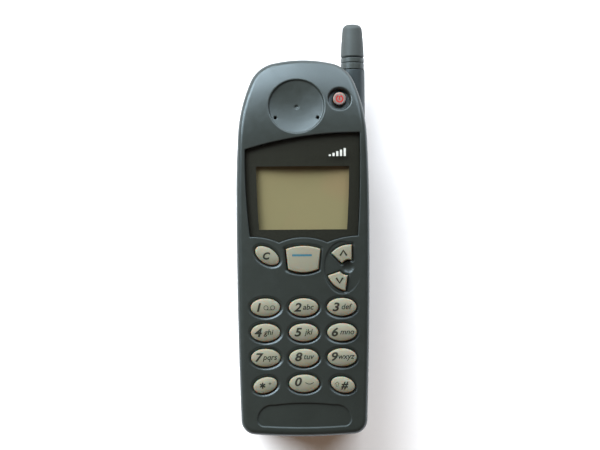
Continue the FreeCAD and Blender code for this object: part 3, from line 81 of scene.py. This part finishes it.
class Finish:
    """A node material with one Principled shader, textured in the row frame's metres."""

    def __init__(self, name, **settings):
        self.material = bpy.data.materials.new(name)
        self.material.use_nodes = True
        tree = self.material.node_tree
        self.nodes = tree.nodes
        self.links = tree.links
        self.nodes.clear()
        self.output = self.nodes.new("ShaderNodeOutputMaterial")
        self.shader = self.nodes.new("ShaderNodeBsdfPrincipled")
        self.links.new(self.shader.outputs["BSDF"], self.output.inputs["Surface"])
        self.coordinates = self.nodes.new("ShaderNodeTexCoord").outputs["Object"]
        for socket, value in settings.items():
            self.shader.inputs[socket.replace("_", " ")].default_value = value

    def drive(self, socket, source):
        """Lead a texture into one of the shader's sockets."""
        self.links.new(source, self.shader.inputs[socket])

    def stretched(self, x, y, z):
        """Coordinates stretched along the axes, for brushed or ribbed textures."""
        mapping = self.nodes.new("ShaderNodeMapping")
        mapping.inputs["Scale"].default_value = (x, y, z)
        self.links.new(self.coordinates, mapping.inputs["Vector"])
        return mapping.outputs["Vector"]

    def noise(self, size_mm, detail=2.0, roughness=0.5, distortion=0.0, vector=None):
        """Noise with features of a given size."""
        node = self.nodes.new("ShaderNodeTexNoise")
        node.inputs["Scale"].default_value = 1 / (size_mm * MM)
        node.inputs["Detail"].default_value = detail
        node.inputs["Roughness"].default_value = roughness
        node.inputs["Distortion"].default_value = distortion
        self.links.new(vector or self.coordinates, node.inputs["Vector"])
        return node.outputs["Fac"]

    def remap(self, source, low, high, start=0.0, end=1.0):
        """A texture's range led onto another range, and clamped."""
        node = self.nodes.new("ShaderNodeMapRange")
        node.inputs["From Min"].default_value = start
        node.inputs["From Max"].default_value = end
        node.inputs["To Min"].default_value = low
        node.inputs["To Max"].default_value = high
        self.links.new(source, node.inputs["Value"])
        return node.outputs["Result"]

    def math(self, operation, first, second):
        """Sum, product or other function of two values, each a texture or a number."""
        node = self.nodes.new("ShaderNodeMath")
        node.operation = operation
        for socket, value in zip(node.inputs, (first, second)):
            if isinstance(value, (int, float)):
                socket.default_value = value
            else:
                self.links.new(value, socket)
        return node.outputs["Value"]

    def mix(self, factor, first, second):
        """Colour between two colours, each a texture or a constant."""
        node = self.nodes.new("ShaderNodeMix")
        node.data_type = "RGBA"
        self.links.new(factor, node.inputs["Factor"])
        for socket, value in (("A", first), ("B", second)):
            target = next(s for s in node.inputs if s.name == socket and s.type == "RGBA")
            if isinstance(value, tuple):
                target.default_value = value
            else:
                self.links.new(value, target)
        return next(s for s in node.outputs if s.type == "RGBA")

    def bump(self, height, depth_mm, strength=1.0, after=None):
        """Surface relief of a given depth."""
        node = self.nodes.new("ShaderNodeBump")
        node.inputs["Strength"].default_value = strength
        node.inputs["Distance"].default_value = depth_mm * MM
        self.links.new(height, node.inputs["Height"])
        if after:
            self.links.new(after, node.inputs["Normal"])
        return node.outputs["Normal"]

    def rounding(self, radius_mm):
        """The surface's normal, as if its sharp edges were rounded to a radius."""
        bevel = self.nodes.new("ShaderNodeBevel")
        bevel.samples = BEVEL_SAMPLES
        bevel.inputs["Radius"].default_value = radius_mm * MM
        return bevel.outputs["Normal"]

    def edges(self, rounded_normal):
        """1 where a rounded normal leaves the true one, on edges, and 0 on plain faces."""
        geometry = self.nodes.new("ShaderNodeNewGeometry")
        product = self.nodes.new("ShaderNodeVectorMath")
        product.operation = "DOT_PRODUCT"
        self.links.new(rounded_normal, product.inputs[0])
        self.links.new(geometry.outputs["Normal"], product.inputs[1])
        return self.remap(product.outputs["Value"], 1.0, 0.0, EDGE_COSINE, FACE_COSINE)


# ---------------------------------------------------------------------------------------
# Finishes
# ---------------------------------------------------------------------------------------
# how strongly plastics mirror, and in what tint
PLASTIC_GLOSS = 0.58
PLASTIC_GLOSS_TINT = (0.72, 0.89, 1.0, 1.0)
# sizes of their uneven colour, of their specks and of finger smudges
CLOUD_MM = 9.0
SPECK_MM = 0.35
SMUDGE_MM = 4.0
# roughness added on a full edge
EDGE_DULLING = 0.25


def moulded_plastic(name, colour, roughness, grain_mm=0.22, grain_depth=0.006, wear=0.35,
                    edge_mm=0.35):
    """Painted or self-coloured moulding: fine grain, faint smudges and rubbed, duller edges."""
    finish = Finish(name, Specular_IOR_Level=PLASTIC_GLOSS, Specular_Tint=PLASTIC_GLOSS_TINT)
    clouds = finish.noise(CLOUD_MM, detail=4.0, roughness=0.6)
    specks = finish.noise(SPECK_MM, detail=2.0)
    mottled = finish.mix(clouds, scaled(colour, 0.86), scaled(colour, 1.16))
    speckled = finish.mix(finish.remap(specks, 0.0, 0.5, 0.5, 0.85), mottled, scaled(colour, 1.7))
    rounded = finish.rounding(edge_mm)
    edges = finish.edges(rounded)
    rubbed = finish.math("MULTIPLY", edges, finish.remap(clouds, 0.0, wear, 0.35, 0.7))
    finish.drive("Base Color", finish.mix(rubbed, speckled, scaled(colour, 3.2)))
    smudges = finish.noise(SMUDGE_MM, detail=5.0, roughness=0.65, distortion=0.6)
    handled = finish.remap(smudges, roughness - 0.03, roughness + 0.05, 0.3, 0.7)
    dulled = finish.remap(edges, 0.0, EDGE_DULLING, 0.0, 0.4)
    finish.drive("Roughness", finish.math("ADD", handled, dulled))
    finish.drive("Normal", finish.bump(finish.noise(grain_mm, detail=3.0), grain_depth,
                                       after=rounded))
    return finish.material


def silicone(name, colour, roughness, edge_colour):
    """Silicone rubber: satin, darker on its rounded edges in cloudy patches, with a soft grain."""
    finish = Finish(name, Specular_IOR_Level=0.2, Subsurface_Weight=0.6,
                    Subsurface_Scale=2.0 * MM)
    clouds = finish.noise(3.2, detail=3.0, roughness=0.6)
    mottled = finish.mix(clouds, scaled(colour, 0.94), scaled(colour, 1.06))
    # darker on the rounded edges, in cloudy patches, towards the given edge colour
    edge_darkening = finish.math("MULTIPLY", finish.edges(finish.rounding(0.5)),
                       finish.remap(clouds, 0.25, 0.8))
    finish.drive("Base Color", finish.mix(edge_darkening, mottled, edge_colour))
    finish.drive("Roughness", finish.remap(clouds, roughness - 0.06, roughness + 0.08, 0.3, 0.7))
    finish.drive("Normal", finish.bump(finish.noise(0.16, detail=2.0), 0.004))
    return finish.material


def sheet_metal(name, colour, roughness, stretch=(1.0, 1.0, 1.0), grain_mm=0.3, depth=0.004):
    """Bare metal with brushing or casting grain along one axis and dull patches."""
    finish = Finish(name, Metallic=1.0)
    grain = finish.noise(grain_mm, detail=4.0, vector=finish.stretched(*stretch))
    patches = finish.noise(6.0, detail=3.0, roughness=0.6)
    brushed = finish.mix(grain, scaled(colour, 0.82), scaled(colour, 1.12))
    finish.drive("Base Color", finish.mix(finish.remap(patches, 0.0, 0.4, 0.5, 0.8), brushed,
                                          scaled(colour, 0.65)))
    spread = finish.math("ADD", finish.remap(grain, -0.06, 0.06),
                         finish.remap(patches, roughness - 0.05, roughness + 0.1))
    finish.drive("Roughness", spread)
    finish.drive("Normal", finish.bump(grain, depth))
    return finish.material


# copper tracks, their width as a share of a step in the pattern
TRACK_PITCH = 2.4 * MM
TRACK_WIDTH = 0.09


def circuit_board(name):
    """Green solder mask over copper tracks, with a slight ripple."""
    finish = Finish(name, Specular_IOR_Level=0.5, Coat_Weight=0.4, Coat_Roughness=0.15)
    tracks = finish.nodes.new("ShaderNodeTexBrick")
    tracks.offset = 0.35
    tracks.inputs["Scale"].default_value = 1 / TRACK_PITCH
    tracks.inputs["Mortar Size"].default_value = TRACK_WIDTH
    tracks.inputs["Mortar Smooth"].default_value = 0.2
    finish.links.new(finish.coordinates, tracks.inputs["Vector"])
    clouds = finish.noise(7.0, detail=3.0)
    green = finish.mix(clouds, srgb(18, 74, 46), srgb(26, 92, 58))
    finish.drive("Base Color", finish.mix(tracks.outputs["Fac"], green, srgb(58, 128, 78)))
    finish.drive("Roughness", finish.remap(clouds, 0.25, 0.42))
    finish.drive("Normal", finish.bump(tracks.outputs["Fac"], 0.02, strength=0.6))
    return finish.material


def ink(name, colour):
    """Printed ink, slightly thin and worn in places."""
    finish = Finish(name, Specular_IOR_Level=0.12)
    wear = finish.noise(0.5, detail=4.0, roughness=0.7)
    finish.drive("Base Color", finish.mix(finish.remap(wear, 0.0, 0.5, 0.5, 0.8), colour,
                                          scaled(colour, 2.2)))
    finish.drive("Roughness", finish.remap(wear, 0.42, 0.6))
    finish.drive("Normal", finish.bump(wear, 0.003))
    return finish.material


# share of light that the window mirrors head on, what a glancing view adds, and how suddenly
STRAIGHT_GLOSS = 0.012
GLANCING_GLOSS = 0.25
GLANCE_POWER = 5.0
WINDOW_ROUGHNESS = 0.05
# share of each colour that the window lets through
WINDOW_CLEARNESS = (0.97, 0.97, 0.965, 1.0)


def clear_acrylic(name, haze):
    """Clear window: transparent, with a coated, calm gloss, faint scratches and finger marks."""
    finish = Finish(name, Metallic=1.0)
    marks = finish.noise(2.5, detail=6.0, roughness=0.7, distortion=1.2)
    scratches = finish.noise(0.25, detail=1.0, vector=finish.stretched(1.0, 0.05, 1.0))
    finish.drive("Base Color", finish.mix(marks, srgb(238, 244, 250), srgb(255, 255, 255)))
    finish.drive("Roughness", finish.remap(marks, WINDOW_ROUGHNESS, WINDOW_ROUGHNESS + haze,
                                           0.35, 0.75))
    finish.drive("Normal", finish.bump(scratches, 0.0006, strength=0.4))
    clear = finish.nodes.new("ShaderNodeBsdfTransparent")
    clear.inputs["Color"].default_value = WINDOW_CLEARNESS
    slant = finish.nodes.new("ShaderNodeLayerWeight").outputs["Facing"]
    gloss = finish.math("MULTIPLY", finish.math("POWER", slant, GLANCE_POWER), GLANCING_GLOSS)
    blend = finish.nodes.new("ShaderNodeMixShader")
    finish.links.new(finish.math("ADD", gloss, STRAIGHT_GLOSS), blend.inputs["Fac"])
    finish.links.new(clear.outputs["BSDF"], blend.inputs[1])
    finish.links.new(finish.shader.outputs["BSDF"], blend.inputs[2])
    finish.links.new(blend.outputs["Shader"], finish.output.inputs["Surface"])
    return finish.material


# dots of the display, the gap between them as a share of their pitch
DOT_PITCH = 0.36 * MM
DOT_GAP = 0.06


def liquid_crystal(name):
    """Display glass: olive, with blotches of tint and a faint grid of dots."""
    finish = Finish(name, Specular_IOR_Level=0.08)
    blotches = finish.noise(14.0, detail=3.0, roughness=0.55)
    tint = finish.mix(blotches, srgb(115, 107, 79), srgb(108, 104, 77))
    warm = finish.noise(22.0, detail=1.0, distortion=0.4)
    tint = finish.mix(finish.remap(warm, 0.0, 0.55, 0.5, 0.75), tint, srgb(120, 101, 77))
    dots = finish.nodes.new("ShaderNodeTexBrick")
    dots.offset = 0.0
    dots.inputs["Scale"].default_value = 1 / DOT_PITCH
    dots.inputs["Row Height"].default_value = 1.0
    dots.inputs["Brick Width"].default_value = 1.0
    dots.inputs["Mortar Size"].default_value = DOT_GAP
    finish.links.new(finish.coordinates, dots.inputs["Vector"])
    gap = finish.remap(dots.outputs["Fac"], 0.0, 0.12)
    finish.drive("Base Color", finish.mix(gap, tint, srgb(89, 87, 66)))
    finish.drive("Roughness", finish.remap(blotches, 0.28, 0.4))
    finish.drive("Normal", finish.bump(finish.noise(0.6), 0.001))
    return finish.material


def paper_floor(name):
    """Plain pale paper under the phone."""
    finish = Finish(name, Specular_IOR_Level=0.2)
    fibres = finish.noise(3.0, detail=6.0, roughness=0.7)
    broad = finish.noise(160.0, detail=2.0)
    tone = finish.mix(broad, srgb(243, 243, 246), srgb(248, 248, 250))
    finish.drive("Base Color", finish.mix(finish.remap(fibres, 0.0, 0.3, 0.4, 0.9), tone,
                                          srgb(238, 238, 242)))
    finish.drive("Roughness", finish.remap(fibres, 0.75, 0.9))
    finish.drive("Normal", finish.bump(fibres, 0.01))
    return finish.material


# colours of the front cover, of the rear cover and battery, and of the keys
COVER = srgb(33, 36, 33)
CASE = srgb(35, 40, 41)
KEY = srgb(112, 111, 97)

FINISHES = {
    "cover_plastic": moulded_plastic("cover_plastic", COVER, 0.32, wear=0.15, edge_mm=0.6),
    "rear_plastic": moulded_plastic("rear_plastic", CASE, 0.46, grain_mm=0.3, grain_depth=0.012),
    "battery_plastic": moulded_plastic("battery_plastic", CASE, 0.48, grain_mm=0.3,
                                       grain_depth=0.014),
    "window_plastic": clear_acrylic("window_plastic", 0.08),
    "mask_print": ink("mask_print", srgb(26, 27, 22)),
    "key_rubber": silicone("key_rubber", KEY, 0.65, srgb(88, 86, 72)),
    "power_rubber": silicone("power_rubber", srgb(112, 100, 96), 0.6, srgb(76, 70, 68)),
    "antenna_rubber": moulded_plastic("antenna_rubber", srgb(45, 47, 44), 0.6, wear=0.2),
    "antenna_plastic": moulded_plastic("antenna_plastic", srgb(45, 48, 45), 0.42),
    "seal_rubber": silicone("seal_rubber", srgb(38, 38, 38), 0.6, srgb(24, 24, 24)),
    "chassis_metal": sheet_metal("chassis_metal", srgb(196, 198, 200), 0.42, grain_mm=0.5,
                                 depth=0.015),
    "shield_metal": sheet_metal("shield_metal", srgb(198, 198, 194), 0.3,
                                stretch=(1.0, 0.08, 1.0)),
    "screw_metal": sheet_metal("screw_metal", srgb(150, 150, 154), 0.3),
    "board": circuit_board("board"),
    "chip_plastic": moulded_plastic("chip_plastic", srgb(40, 40, 42), 0.55, grain_mm=0.12),
    "contact_metal": sheet_metal("contact_metal", srgb(222, 190, 116), 0.26,
                                 stretch=(0.2, 1.0, 1.0)),
    "jack_metal": sheet_metal("jack_metal", srgb(196, 194, 188), 0.22, stretch=(1.0, 0.1, 1.0)),
    "black_plastic": moulded_plastic("black_plastic", srgb(34, 34, 35), 0.5),
    "cell_metal": sheet_metal("cell_metal", srgb(176, 180, 186), 0.34,
                              stretch=(0.15, 1.0, 1.0)),
    "frame_plastic": moulded_plastic("frame_plastic", srgb(74, 76, 76), 0.5),
    "guide_plastic": silicone("guide_plastic", srgb(214, 220, 214), 0.2, srgb(180, 190, 182)),
    "display_glass": liquid_crystal("display_glass"),
    "card_plastic": moulded_plastic("card_plastic", srgb(222, 222, 216), 0.35, wear=0.0),
}
LEGEND_INK = ink("legend_ink", srgb(30, 29, 24))
BAR_INK = ink("bar_ink", srgb(42, 78, 92))
POWER_INK = ink("power_ink", srgb(142, 40, 38))
MARK_INK = ink("mark_ink", srgb(170, 172, 168))


def finish_nodes():
    """Give every carried-over sub-part the finish of its material slot."""
    for entry in frame["record"]["subparts"]:
        mesh = frame["nodes"][entry["node"]].data
        mesh.materials.clear()
        mesh.materials.append(FINISHES[entry["material_slot"]])


# ---------------------------------------------------------------------------------------
# Catch spring
# ---------------------------------------------------------------------------------------
SPRING_TURNS = 6
# steps in one turn
SPRING_STEPS = 20
WIRE_SIDES = 8
WIRE_RADIUS = 0.12 * MM


def wind_catch_spring():
    """A wire coil in place of the spring's plain tube, carried with the battery."""
    low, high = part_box("catch_spring")
    middle = (low + high) / 2
    coil_radius = (high.x - low.x) / 2 - WIRE_RADIUS
    start = low.y + WIRE_RADIUS
    rise = high.y - low.y - 2 * WIRE_RADIUS
    steps = SPRING_TURNS * SPRING_STEPS
    coil = bmesh.new()
    rings = []
    for step in range(steps + 1):
        turn = math.tau * step / SPRING_STEPS
        outward = Vector((math.cos(turn), 0, math.sin(turn)))
        centre = Vector((middle.x, start + rise * step / steps, middle.z)) + outward * coil_radius
        section = []
        for side in range(WIRE_SIDES):
            angle = math.tau * side / WIRE_SIDES
            offset = outward * math.cos(angle) + Vector((0, math.sin(angle), 0))
            section.append(coil.verts.new(centre + offset * WIRE_RADIUS))
        rings.append(section)
    for first, second in zip(rings, rings[1:]):
        for side in range(WIRE_SIDES):
            after = (side + 1) % WIRE_SIDES
            coil.faces.new((first[side], first[after], second[after], second[side]))
    coil.faces.new(rings[0])
    coil.faces.new(rings[-1])
    bmesh.ops.recalc_face_normals(coil, faces=coil.faces)
    mesh = bpy.data.meshes.new("catch_coil")
    coil.to_mesh(mesh)
    coil.free()
    mesh.shade_smooth()
    mesh.materials.append(FINISHES["screw_metal"])
    piece = bpy.data.objects.new("catch_coil", mesh)
    bpy.context.scene.collection.objects.link(piece)
    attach(piece, "battery")
    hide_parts("catch_spring")
    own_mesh(piece)


# ---------------------------------------------------------------------------------------
# Printing on the keys
# ---------------------------------------------------------------------------------------
# how far print stands off its surface
INK_HEIGHT = 0.02 * MM
# how far above the surface the ray that finds it starts
RAY_CLEARANCE = 10 * MM
MERGE_DISTANCE = 0.002 * MM
# edges longer than this are split, in at most so many rounds, so that print follows a curve
LONGEST_EDGE = 0.45 * MM
SPLIT_ROUNDS = 4
TYPE_SLANT = 0.22
# height of a capital as a share of the type size
CAPITAL_SHARE = 0.72


class Surface:
    """The upper surface of a sub-part, onto which print is laid."""

    def __init__(self, node):
        mesh = frame["nodes"][node].data
        corners = [vertex.co for vertex in mesh.vertices]
        self.tree = BVHTree.FromPolygons(corners, [face.vertices[:] for face in mesh.polygons])
        low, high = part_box(node)
        self.centre = (low + high) / 2
        self.top = high.z

    def height(self, x, y):
        """Height of the surface above a point."""
        hit = self.tree.ray_cast(Vector((x, y, self.top + RAY_CLEARANCE)), Vector((0, 0, -1)))[0]
        return hit.z if hit else self.top

    def at(self, right, up):
        """A place given in mm from the sub-part's middle."""
        return self.centre.x + right * MM, self.centre.y + up * MM


def lay_print(name, surface, body, mesh, place, material=LEGEND_INK):
    """Fine mesh of a flat drawing, laid on a surface with its origin at a place."""
    drawing = bmesh.new()
    drawing.from_mesh(mesh)
    bmesh.ops.remove_doubles(drawing, verts=drawing.verts, dist=MERGE_DISTANCE)
    bmesh.ops.triangulate(drawing, faces=drawing.faces)
    for _ in range(SPLIT_ROUNDS):
        long_edges = [edge for edge in drawing.edges if edge.calc_length() > LONGEST_EDGE]
        if not long_edges:
            break
        bmesh.ops.subdivide_edges(drawing, edges=long_edges, cuts=1)
        bmesh.ops.triangulate(drawing, faces=drawing.faces)
    for vertex in drawing.verts:
        vertex.co.x += place[0]
        vertex.co.y += place[1]
        vertex.co.z = surface.height(vertex.co.x, vertex.co.y) + INK_HEIGHT
    result = bpy.data.meshes.new(name)
    bmesh.ops.recalc_face_normals(drawing, faces=drawing.faces)
    drawing.to_mesh(result)
    drawing.free()
    result.shade_smooth()
    result.materials.append(material)
    piece = bpy.data.objects.new(name, result)
    bpy.context.scene.collection.objects.link(piece)
    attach(piece, body)


def text_mesh(text, height, weight, widen=1.0):
    """Flat slanted mesh of a text, its capitals of a given height, standing on the origin."""
    curve = bpy.data.curves.new("text", "FONT")
    curve.body = text
    curve.align_x = "CENTER"
    curve.size = height / CAPITAL_SHARE
    curve.shear = TYPE_SLANT
    curve.offset = weight
    curve.resolution_u = 3
    carrier = bpy.data.objects.new("text", curve)
    bpy.context.scene.collection.objects.link(carrier)
    mesh = bpy.data.meshes.new_from_object(carrier)
    bpy.data.objects.remove(carrier)
    for vertex in mesh.vertices:
        vertex.co.x *= widen
    return mesh


def stroke_mesh(*strokes):
    """Flat mesh of strokes, each a width, whether it closes, and its points."""
    drawing = bmesh.new()
    for width, closes, points in strokes:
        points = [Vector((x, y)) for x, y in points]
        count = len(points)
        rows = []
        for index, point in enumerate(points):
            before = points[(index - 1) % count] if closes or index else point
            after = points[(index + 1) % count] if closes or index < count - 1 else point
            along = (after - before).normalized()
            side = Vector((-along.y, along.x)) * width / 2
            rows.append([drawing.verts.new((*(point + side), 0)),
                         drawing.verts.new((*(point - side), 0))])
        pairs = list(zip(rows, rows[1:] + rows[:1])) if closes else list(zip(rows, rows[1:]))
        for first, second in pairs:
            drawing.faces.new((first[0], first[1], second[1], second[0]))
    mesh = bpy.data.meshes.new("strokes")
    drawing.to_mesh(mesh)
    drawing.free()
    return mesh


def ring(x, y, radius, start=0.0, end=360.0, steps=28):
    """Points round an arc, angles in degrees."""
    angles = [math.radians(start + (end - start) * step / steps) for step in range(steps + 1)]
    points = [(x + radius * math.cos(angle), y + radius * math.sin(angle)) for angle in angles]
    return points[:-1] if abs(end - start) >= 360 else points


# each digit's letters, how far right of the key's middle digit and letters stand, and how far
# up both do, in mm
KEY_PRINT = {
    "1": ("", -2.6, 0.0, 0.1),
    "2": ("abc", -2.15, 1.5, 0.1),
    "3": ("def", -2.25, 1.35, 0.1),
    "4": ("ghi", -2.8, 0.95, 0.15),
    "5": ("jkl", -2.2, 1.6, 0.25),
    "6": ("mno", -2.75, 1.7, 0.15),
    "7": ("pqrs", -2.8, 1.4, 0.25),
    "8": ("tuv", -2.15, 1.5, 0.45),
    "9": ("wxyz", -3.0, 1.25, 0.4),
    "0": ("", -2.35, 0.0, 0.7),
}
DIGIT_HEIGHT_MM = 2.95
DIGIT_WEIGHT = 0.12 * MM
DIGIT_WIDENING = 1.15
LETTER_HEIGHT_MM = 1.95
LETTER_WEIGHT = 0.035 * MM
# share of its height by which print is lowered, so that it stands about the key's middle
DIGIT_DROP = 0.48
LETTER_DROP = 0.42


def print_digit(digit):
    """A bold digit on the left of a key and its letters, if any, on the right."""
    key = f"key_{digit}"
    surface = Surface(key)
    letters, digit_shift, letter_shift, rise = KEY_PRINT[digit]
    bold = text_mesh(digit, DIGIT_HEIGHT_MM * MM, DIGIT_WEIGHT, DIGIT_WIDENING)
    place = surface.at(digit_shift, rise - DIGIT_HEIGHT_MM * DIGIT_DROP)
    lay_print(f"digit_{digit}", surface, f"{key}_cap", bold, place)
    if letters:
        light = text_mesh(letters, LETTER_HEIGHT_MM * MM, LETTER_WEIGHT)
        place = surface.at(letter_shift, rise - LETTER_HEIGHT_MM * LETTER_DROP)
        lay_print(f"letters_{digit}", surface, f"{key}_cap", light, place)


def print_tape_mark():
    """Two reels joined by a line, the voice mail mark of key 1."""
    surface = Surface("key_1")
    radius = 0.72 * MM
    reach = 1.15 * MM
    line = 0.2 * MM
    reels = stroke_mesh((line, True, ring(-reach, 0, radius)), (line, True, ring(reach, 0, radius)),
                        (line, False, [(-reach, -radius), (reach, -radius)]))
    lay_print("tape_mark", surface, "key_1_cap", reels, surface.at(1.35, -0.05))


def print_space_mark():
    """The space mark of key 0, a shallow cup."""
    surface = Surface("key_0")
    line = 0.24 * MM
    radius = 2.0 * MM
    lift = 1.5 * MM
    cup = stroke_mesh((line, False, ring(0, lift, radius, 225, 315, 12)))
    lay_print("space_mark", surface, "key_0_cap", cup, surface.at(1.85, 0.4))


def print_star_key():
    """A six-pointed star and a small plus."""
    surface = Surface("key_star")
    line = 0.5 * MM
    reach = 1.05 * MM
    spokes = [(line, False, ring(0, 0, reach, turn, turn + 180, 1)) for turn in (90, 30, 150)]
    lay_print("star_mark", surface, "key_star_cap", stroke_mesh(*spokes), surface.at(-0.95, 0))
    line = 0.24 * MM
    reach = 0.5 * MM
    plus = stroke_mesh((line, False, [(-reach, 0), (reach, 0)]),
                       (line, False, [(0, -reach), (0, reach)]))
    lay_print("plus_mark", surface, "key_star_cap", plus, surface.at(1.6, 0.65))


def print_hash_key():
    """A hash sign and a small arrow for capitals."""
    surface = Surface("key_hash")
    sign = text_mesh("#", 2.5 * MM, 0.14 * MM)
    lay_print("hash_mark", surface, "key_hash_cap", sign, surface.at(0.4, -1.15))
    line = 0.17 * MM
    half = 0.75 * MM
    stem = half * 0.45
    head = [(0, half), (half, 0), (stem, 0), (stem, -half), (-stem, -half), (-stem, 0),
            (-half, 0)]
    lay_print("shift_mark", surface, "key_hash_cap", stroke_mesh((line, True, head)),
              surface.at(-2.05, 0.35))


def print_upper_keys():
    """The letter on the clear key, the menu key's bar and the scroll keys' chevrons."""
    surface = Surface("key_c")
    letter = text_mesh("C", 2.4 * MM, 0.15 * MM)
    lay_print("clear_letter", surface, "key_c_cap", letter, surface.at(-0.55, -1.2))
    surface = Surface("key_menu")
    half = 3.4 * MM
    bar = stroke_mesh((0.7 * MM, False, [(-half, 0), (half, 0)]))
    lay_print("menu_bar", surface, "key_menu_cap", bar, surface.at(-0.2, 1.4), BAR_INK)
    line = 0.65 * MM
    half = 1.15 * MM
    for key, tip in (("key_up", 1), ("key_down", -1)):
        surface = Surface(key)
        rise = 0.9 * MM * tip
        chevron = stroke_mesh((line, False, [(-half, -rise), (0, rise), (half, -rise)]))
        lay_print(f"{key}_chevron", surface, f"{key}_cap", chevron, surface.at(0.6, 0.35))


def print_power_symbol():
    """An open ring round an upright bar on the power key."""
    surface = Surface("power_key")
    line = 0.5 * MM
    radius = 1.1 * MM
    symbol = stroke_mesh((line, False, ring(0, 0, radius, 110, 430)),
                         (line, False, [(0, -0.4 * MM), (0, 1.0 * MM)]))
    lay_print("power_symbol", surface, "power", symbol, surface.at(0, 0), POWER_INK)


# foot of the first bar
RECEPTION_PLACE = (9.5 * MM, 31.2 * MM)
RECEPTION_BARS = 5
BAR_PITCH = 1.3 * MM
BAR_WIDTH = 0.75 * MM
BAR_RISE = 0.55 * MM


def print_window_mark():
    """Rising bars, a plain sign for reception, at the window's upper right."""
    bars = []
    for index in range(RECEPTION_BARS):
        across = index * BAR_PITCH
        bars.append((BAR_WIDTH, False, [(across, 0), (across, (index + 1) * BAR_RISE)]))
    lay_print("window_mark", Surface("display_window"), "cover", stroke_mesh(*bars),
              RECEPTION_PLACE, MARK_INK)


def print_legends():
    """All print on the keys and the window."""
    for digit in KEY_PRINT:
        print_digit(digit)
    print_tape_mark()
    print_space_mark()
    print_star_key()
    print_hash_key()
    print_upper_keys()
    print_power_symbol()
    print_window_mark()


# ---------------------------------------------------------------------------------------
# Stage: floor, light and camera
# ---------------------------------------------------------------------------------------
FLOOR_HALF_WIDTH = 2.5
# colours of the lights and of the even light of the room
COOL = (0.92, 0.97, 1.0)
WARM = (1.0, 0.4, 0.05)
ROOM = (1.0, 0.93, 0.84, 1.0)
ROOM_STRENGTH = 0.13
WINDOW_PLACE = (-0.85, 1.05, 0.7)
WINDOW_WIDTH = 1.6
# height of each of the window's two halves
HALF_WINDOW = 0.6
CAMERA_PLACE = (-1.05 * MM, 7.3 * MM, 503 * MM)
CAMERA_TURN = math.radians(-0.43)
CAMERA_LENS = 81.6
CAMERA_SENSOR = 36.0


def lay_floor():
    """A large plain floor under the phone's back."""
    mesh = bpy.data.meshes.new("floor")
    sheet = bmesh.new()
    bmesh.ops.create_grid(sheet, x_segments=8, y_segments=8, size=FLOOR_HALF_WIDTH)
    sheet.to_mesh(mesh)
    sheet.free()
    mesh.materials.append(paper_floor("floor"))
    floor = bpy.data.objects.new("floor", mesh)
    bpy.context.scene.collection.objects.link(floor)


def area_light(name, place, width, length, power, colour, lift=0.0):
    """A soft rectangular light aimed at the phone, then moved up or down in its own plane."""
    lamp = bpy.data.lights.new(name, "AREA")
    lamp.shape = "RECTANGLE"
    lamp.size = width
    lamp.size_y = length
    lamp.energy = power
    lamp.color = colour
    holder = bpy.data.objects.new(name, lamp)
    turn = (-Vector(place)).to_track_quat("-Z", "Y")
    holder.location = Vector(place) + turn @ Vector((0, lift, 0))
    holder.rotation_euler = turn.to_euler()
    bpy.context.scene.collection.objects.link(holder)
    return holder


def light_scene():
    """Cool windows beyond the antenna, a low warm glow opposite and a dim even room.

    The tall window is two halves. The lower one lights but isn't mirrored, so that low views
    of the face aren't lost in glare.
    """
    area_light("window_light", WINDOW_PLACE, WINDOW_WIDTH, HALF_WINDOW, power=56.0, colour=COOL,
               lift=HALF_WINDOW / 2)
    low = area_light("low_window_light", WINDOW_PLACE, WINDOW_WIDTH, HALF_WINDOW, power=43.0,
                     colour=COOL, lift=-HALF_WINDOW / 2)
    low.visible_glossy = False
    area_light("side_light", (0.6, 1.15, 0.72), 1.3, 1.2, power=31.0, colour=COOL)
    glow = area_light("warm_light", (0.1, -1.0, 0.3), 0.8, 0.4, power=2.6, colour=WARM)
    glow.visible_glossy = False
    world = bpy.data.worlds.new("room")
    world.use_nodes = True
    background = world.node_tree.nodes["Background"]
    background.inputs["Color"].default_value = ROOM
    background.inputs["Strength"].default_value = ROOM_STRENGTH
    bpy.context.scene.world = world
    bpy.context.scene.view_settings.view_transform = "Standard"


def place_camera():
    """The camera straight above the phone, which lies very slightly turned in its view."""
    data = bpy.data.cameras.new("camera")
    data.sensor_width = CAMERA_SENSOR
    data.lens = CAMERA_LENS
    camera = bpy.data.objects.new("camera", data)
    camera.location = CAMERA_PLACE
    camera.rotation_euler = (0, 0, CAMERA_TURN)
    bpy.context.scene.collection.objects.link(camera)
    bpy.context.scene.camera = camera


finish_nodes()
wind_catch_spring()
print_legends()
lay_floor()
light_scene()
place_camera()
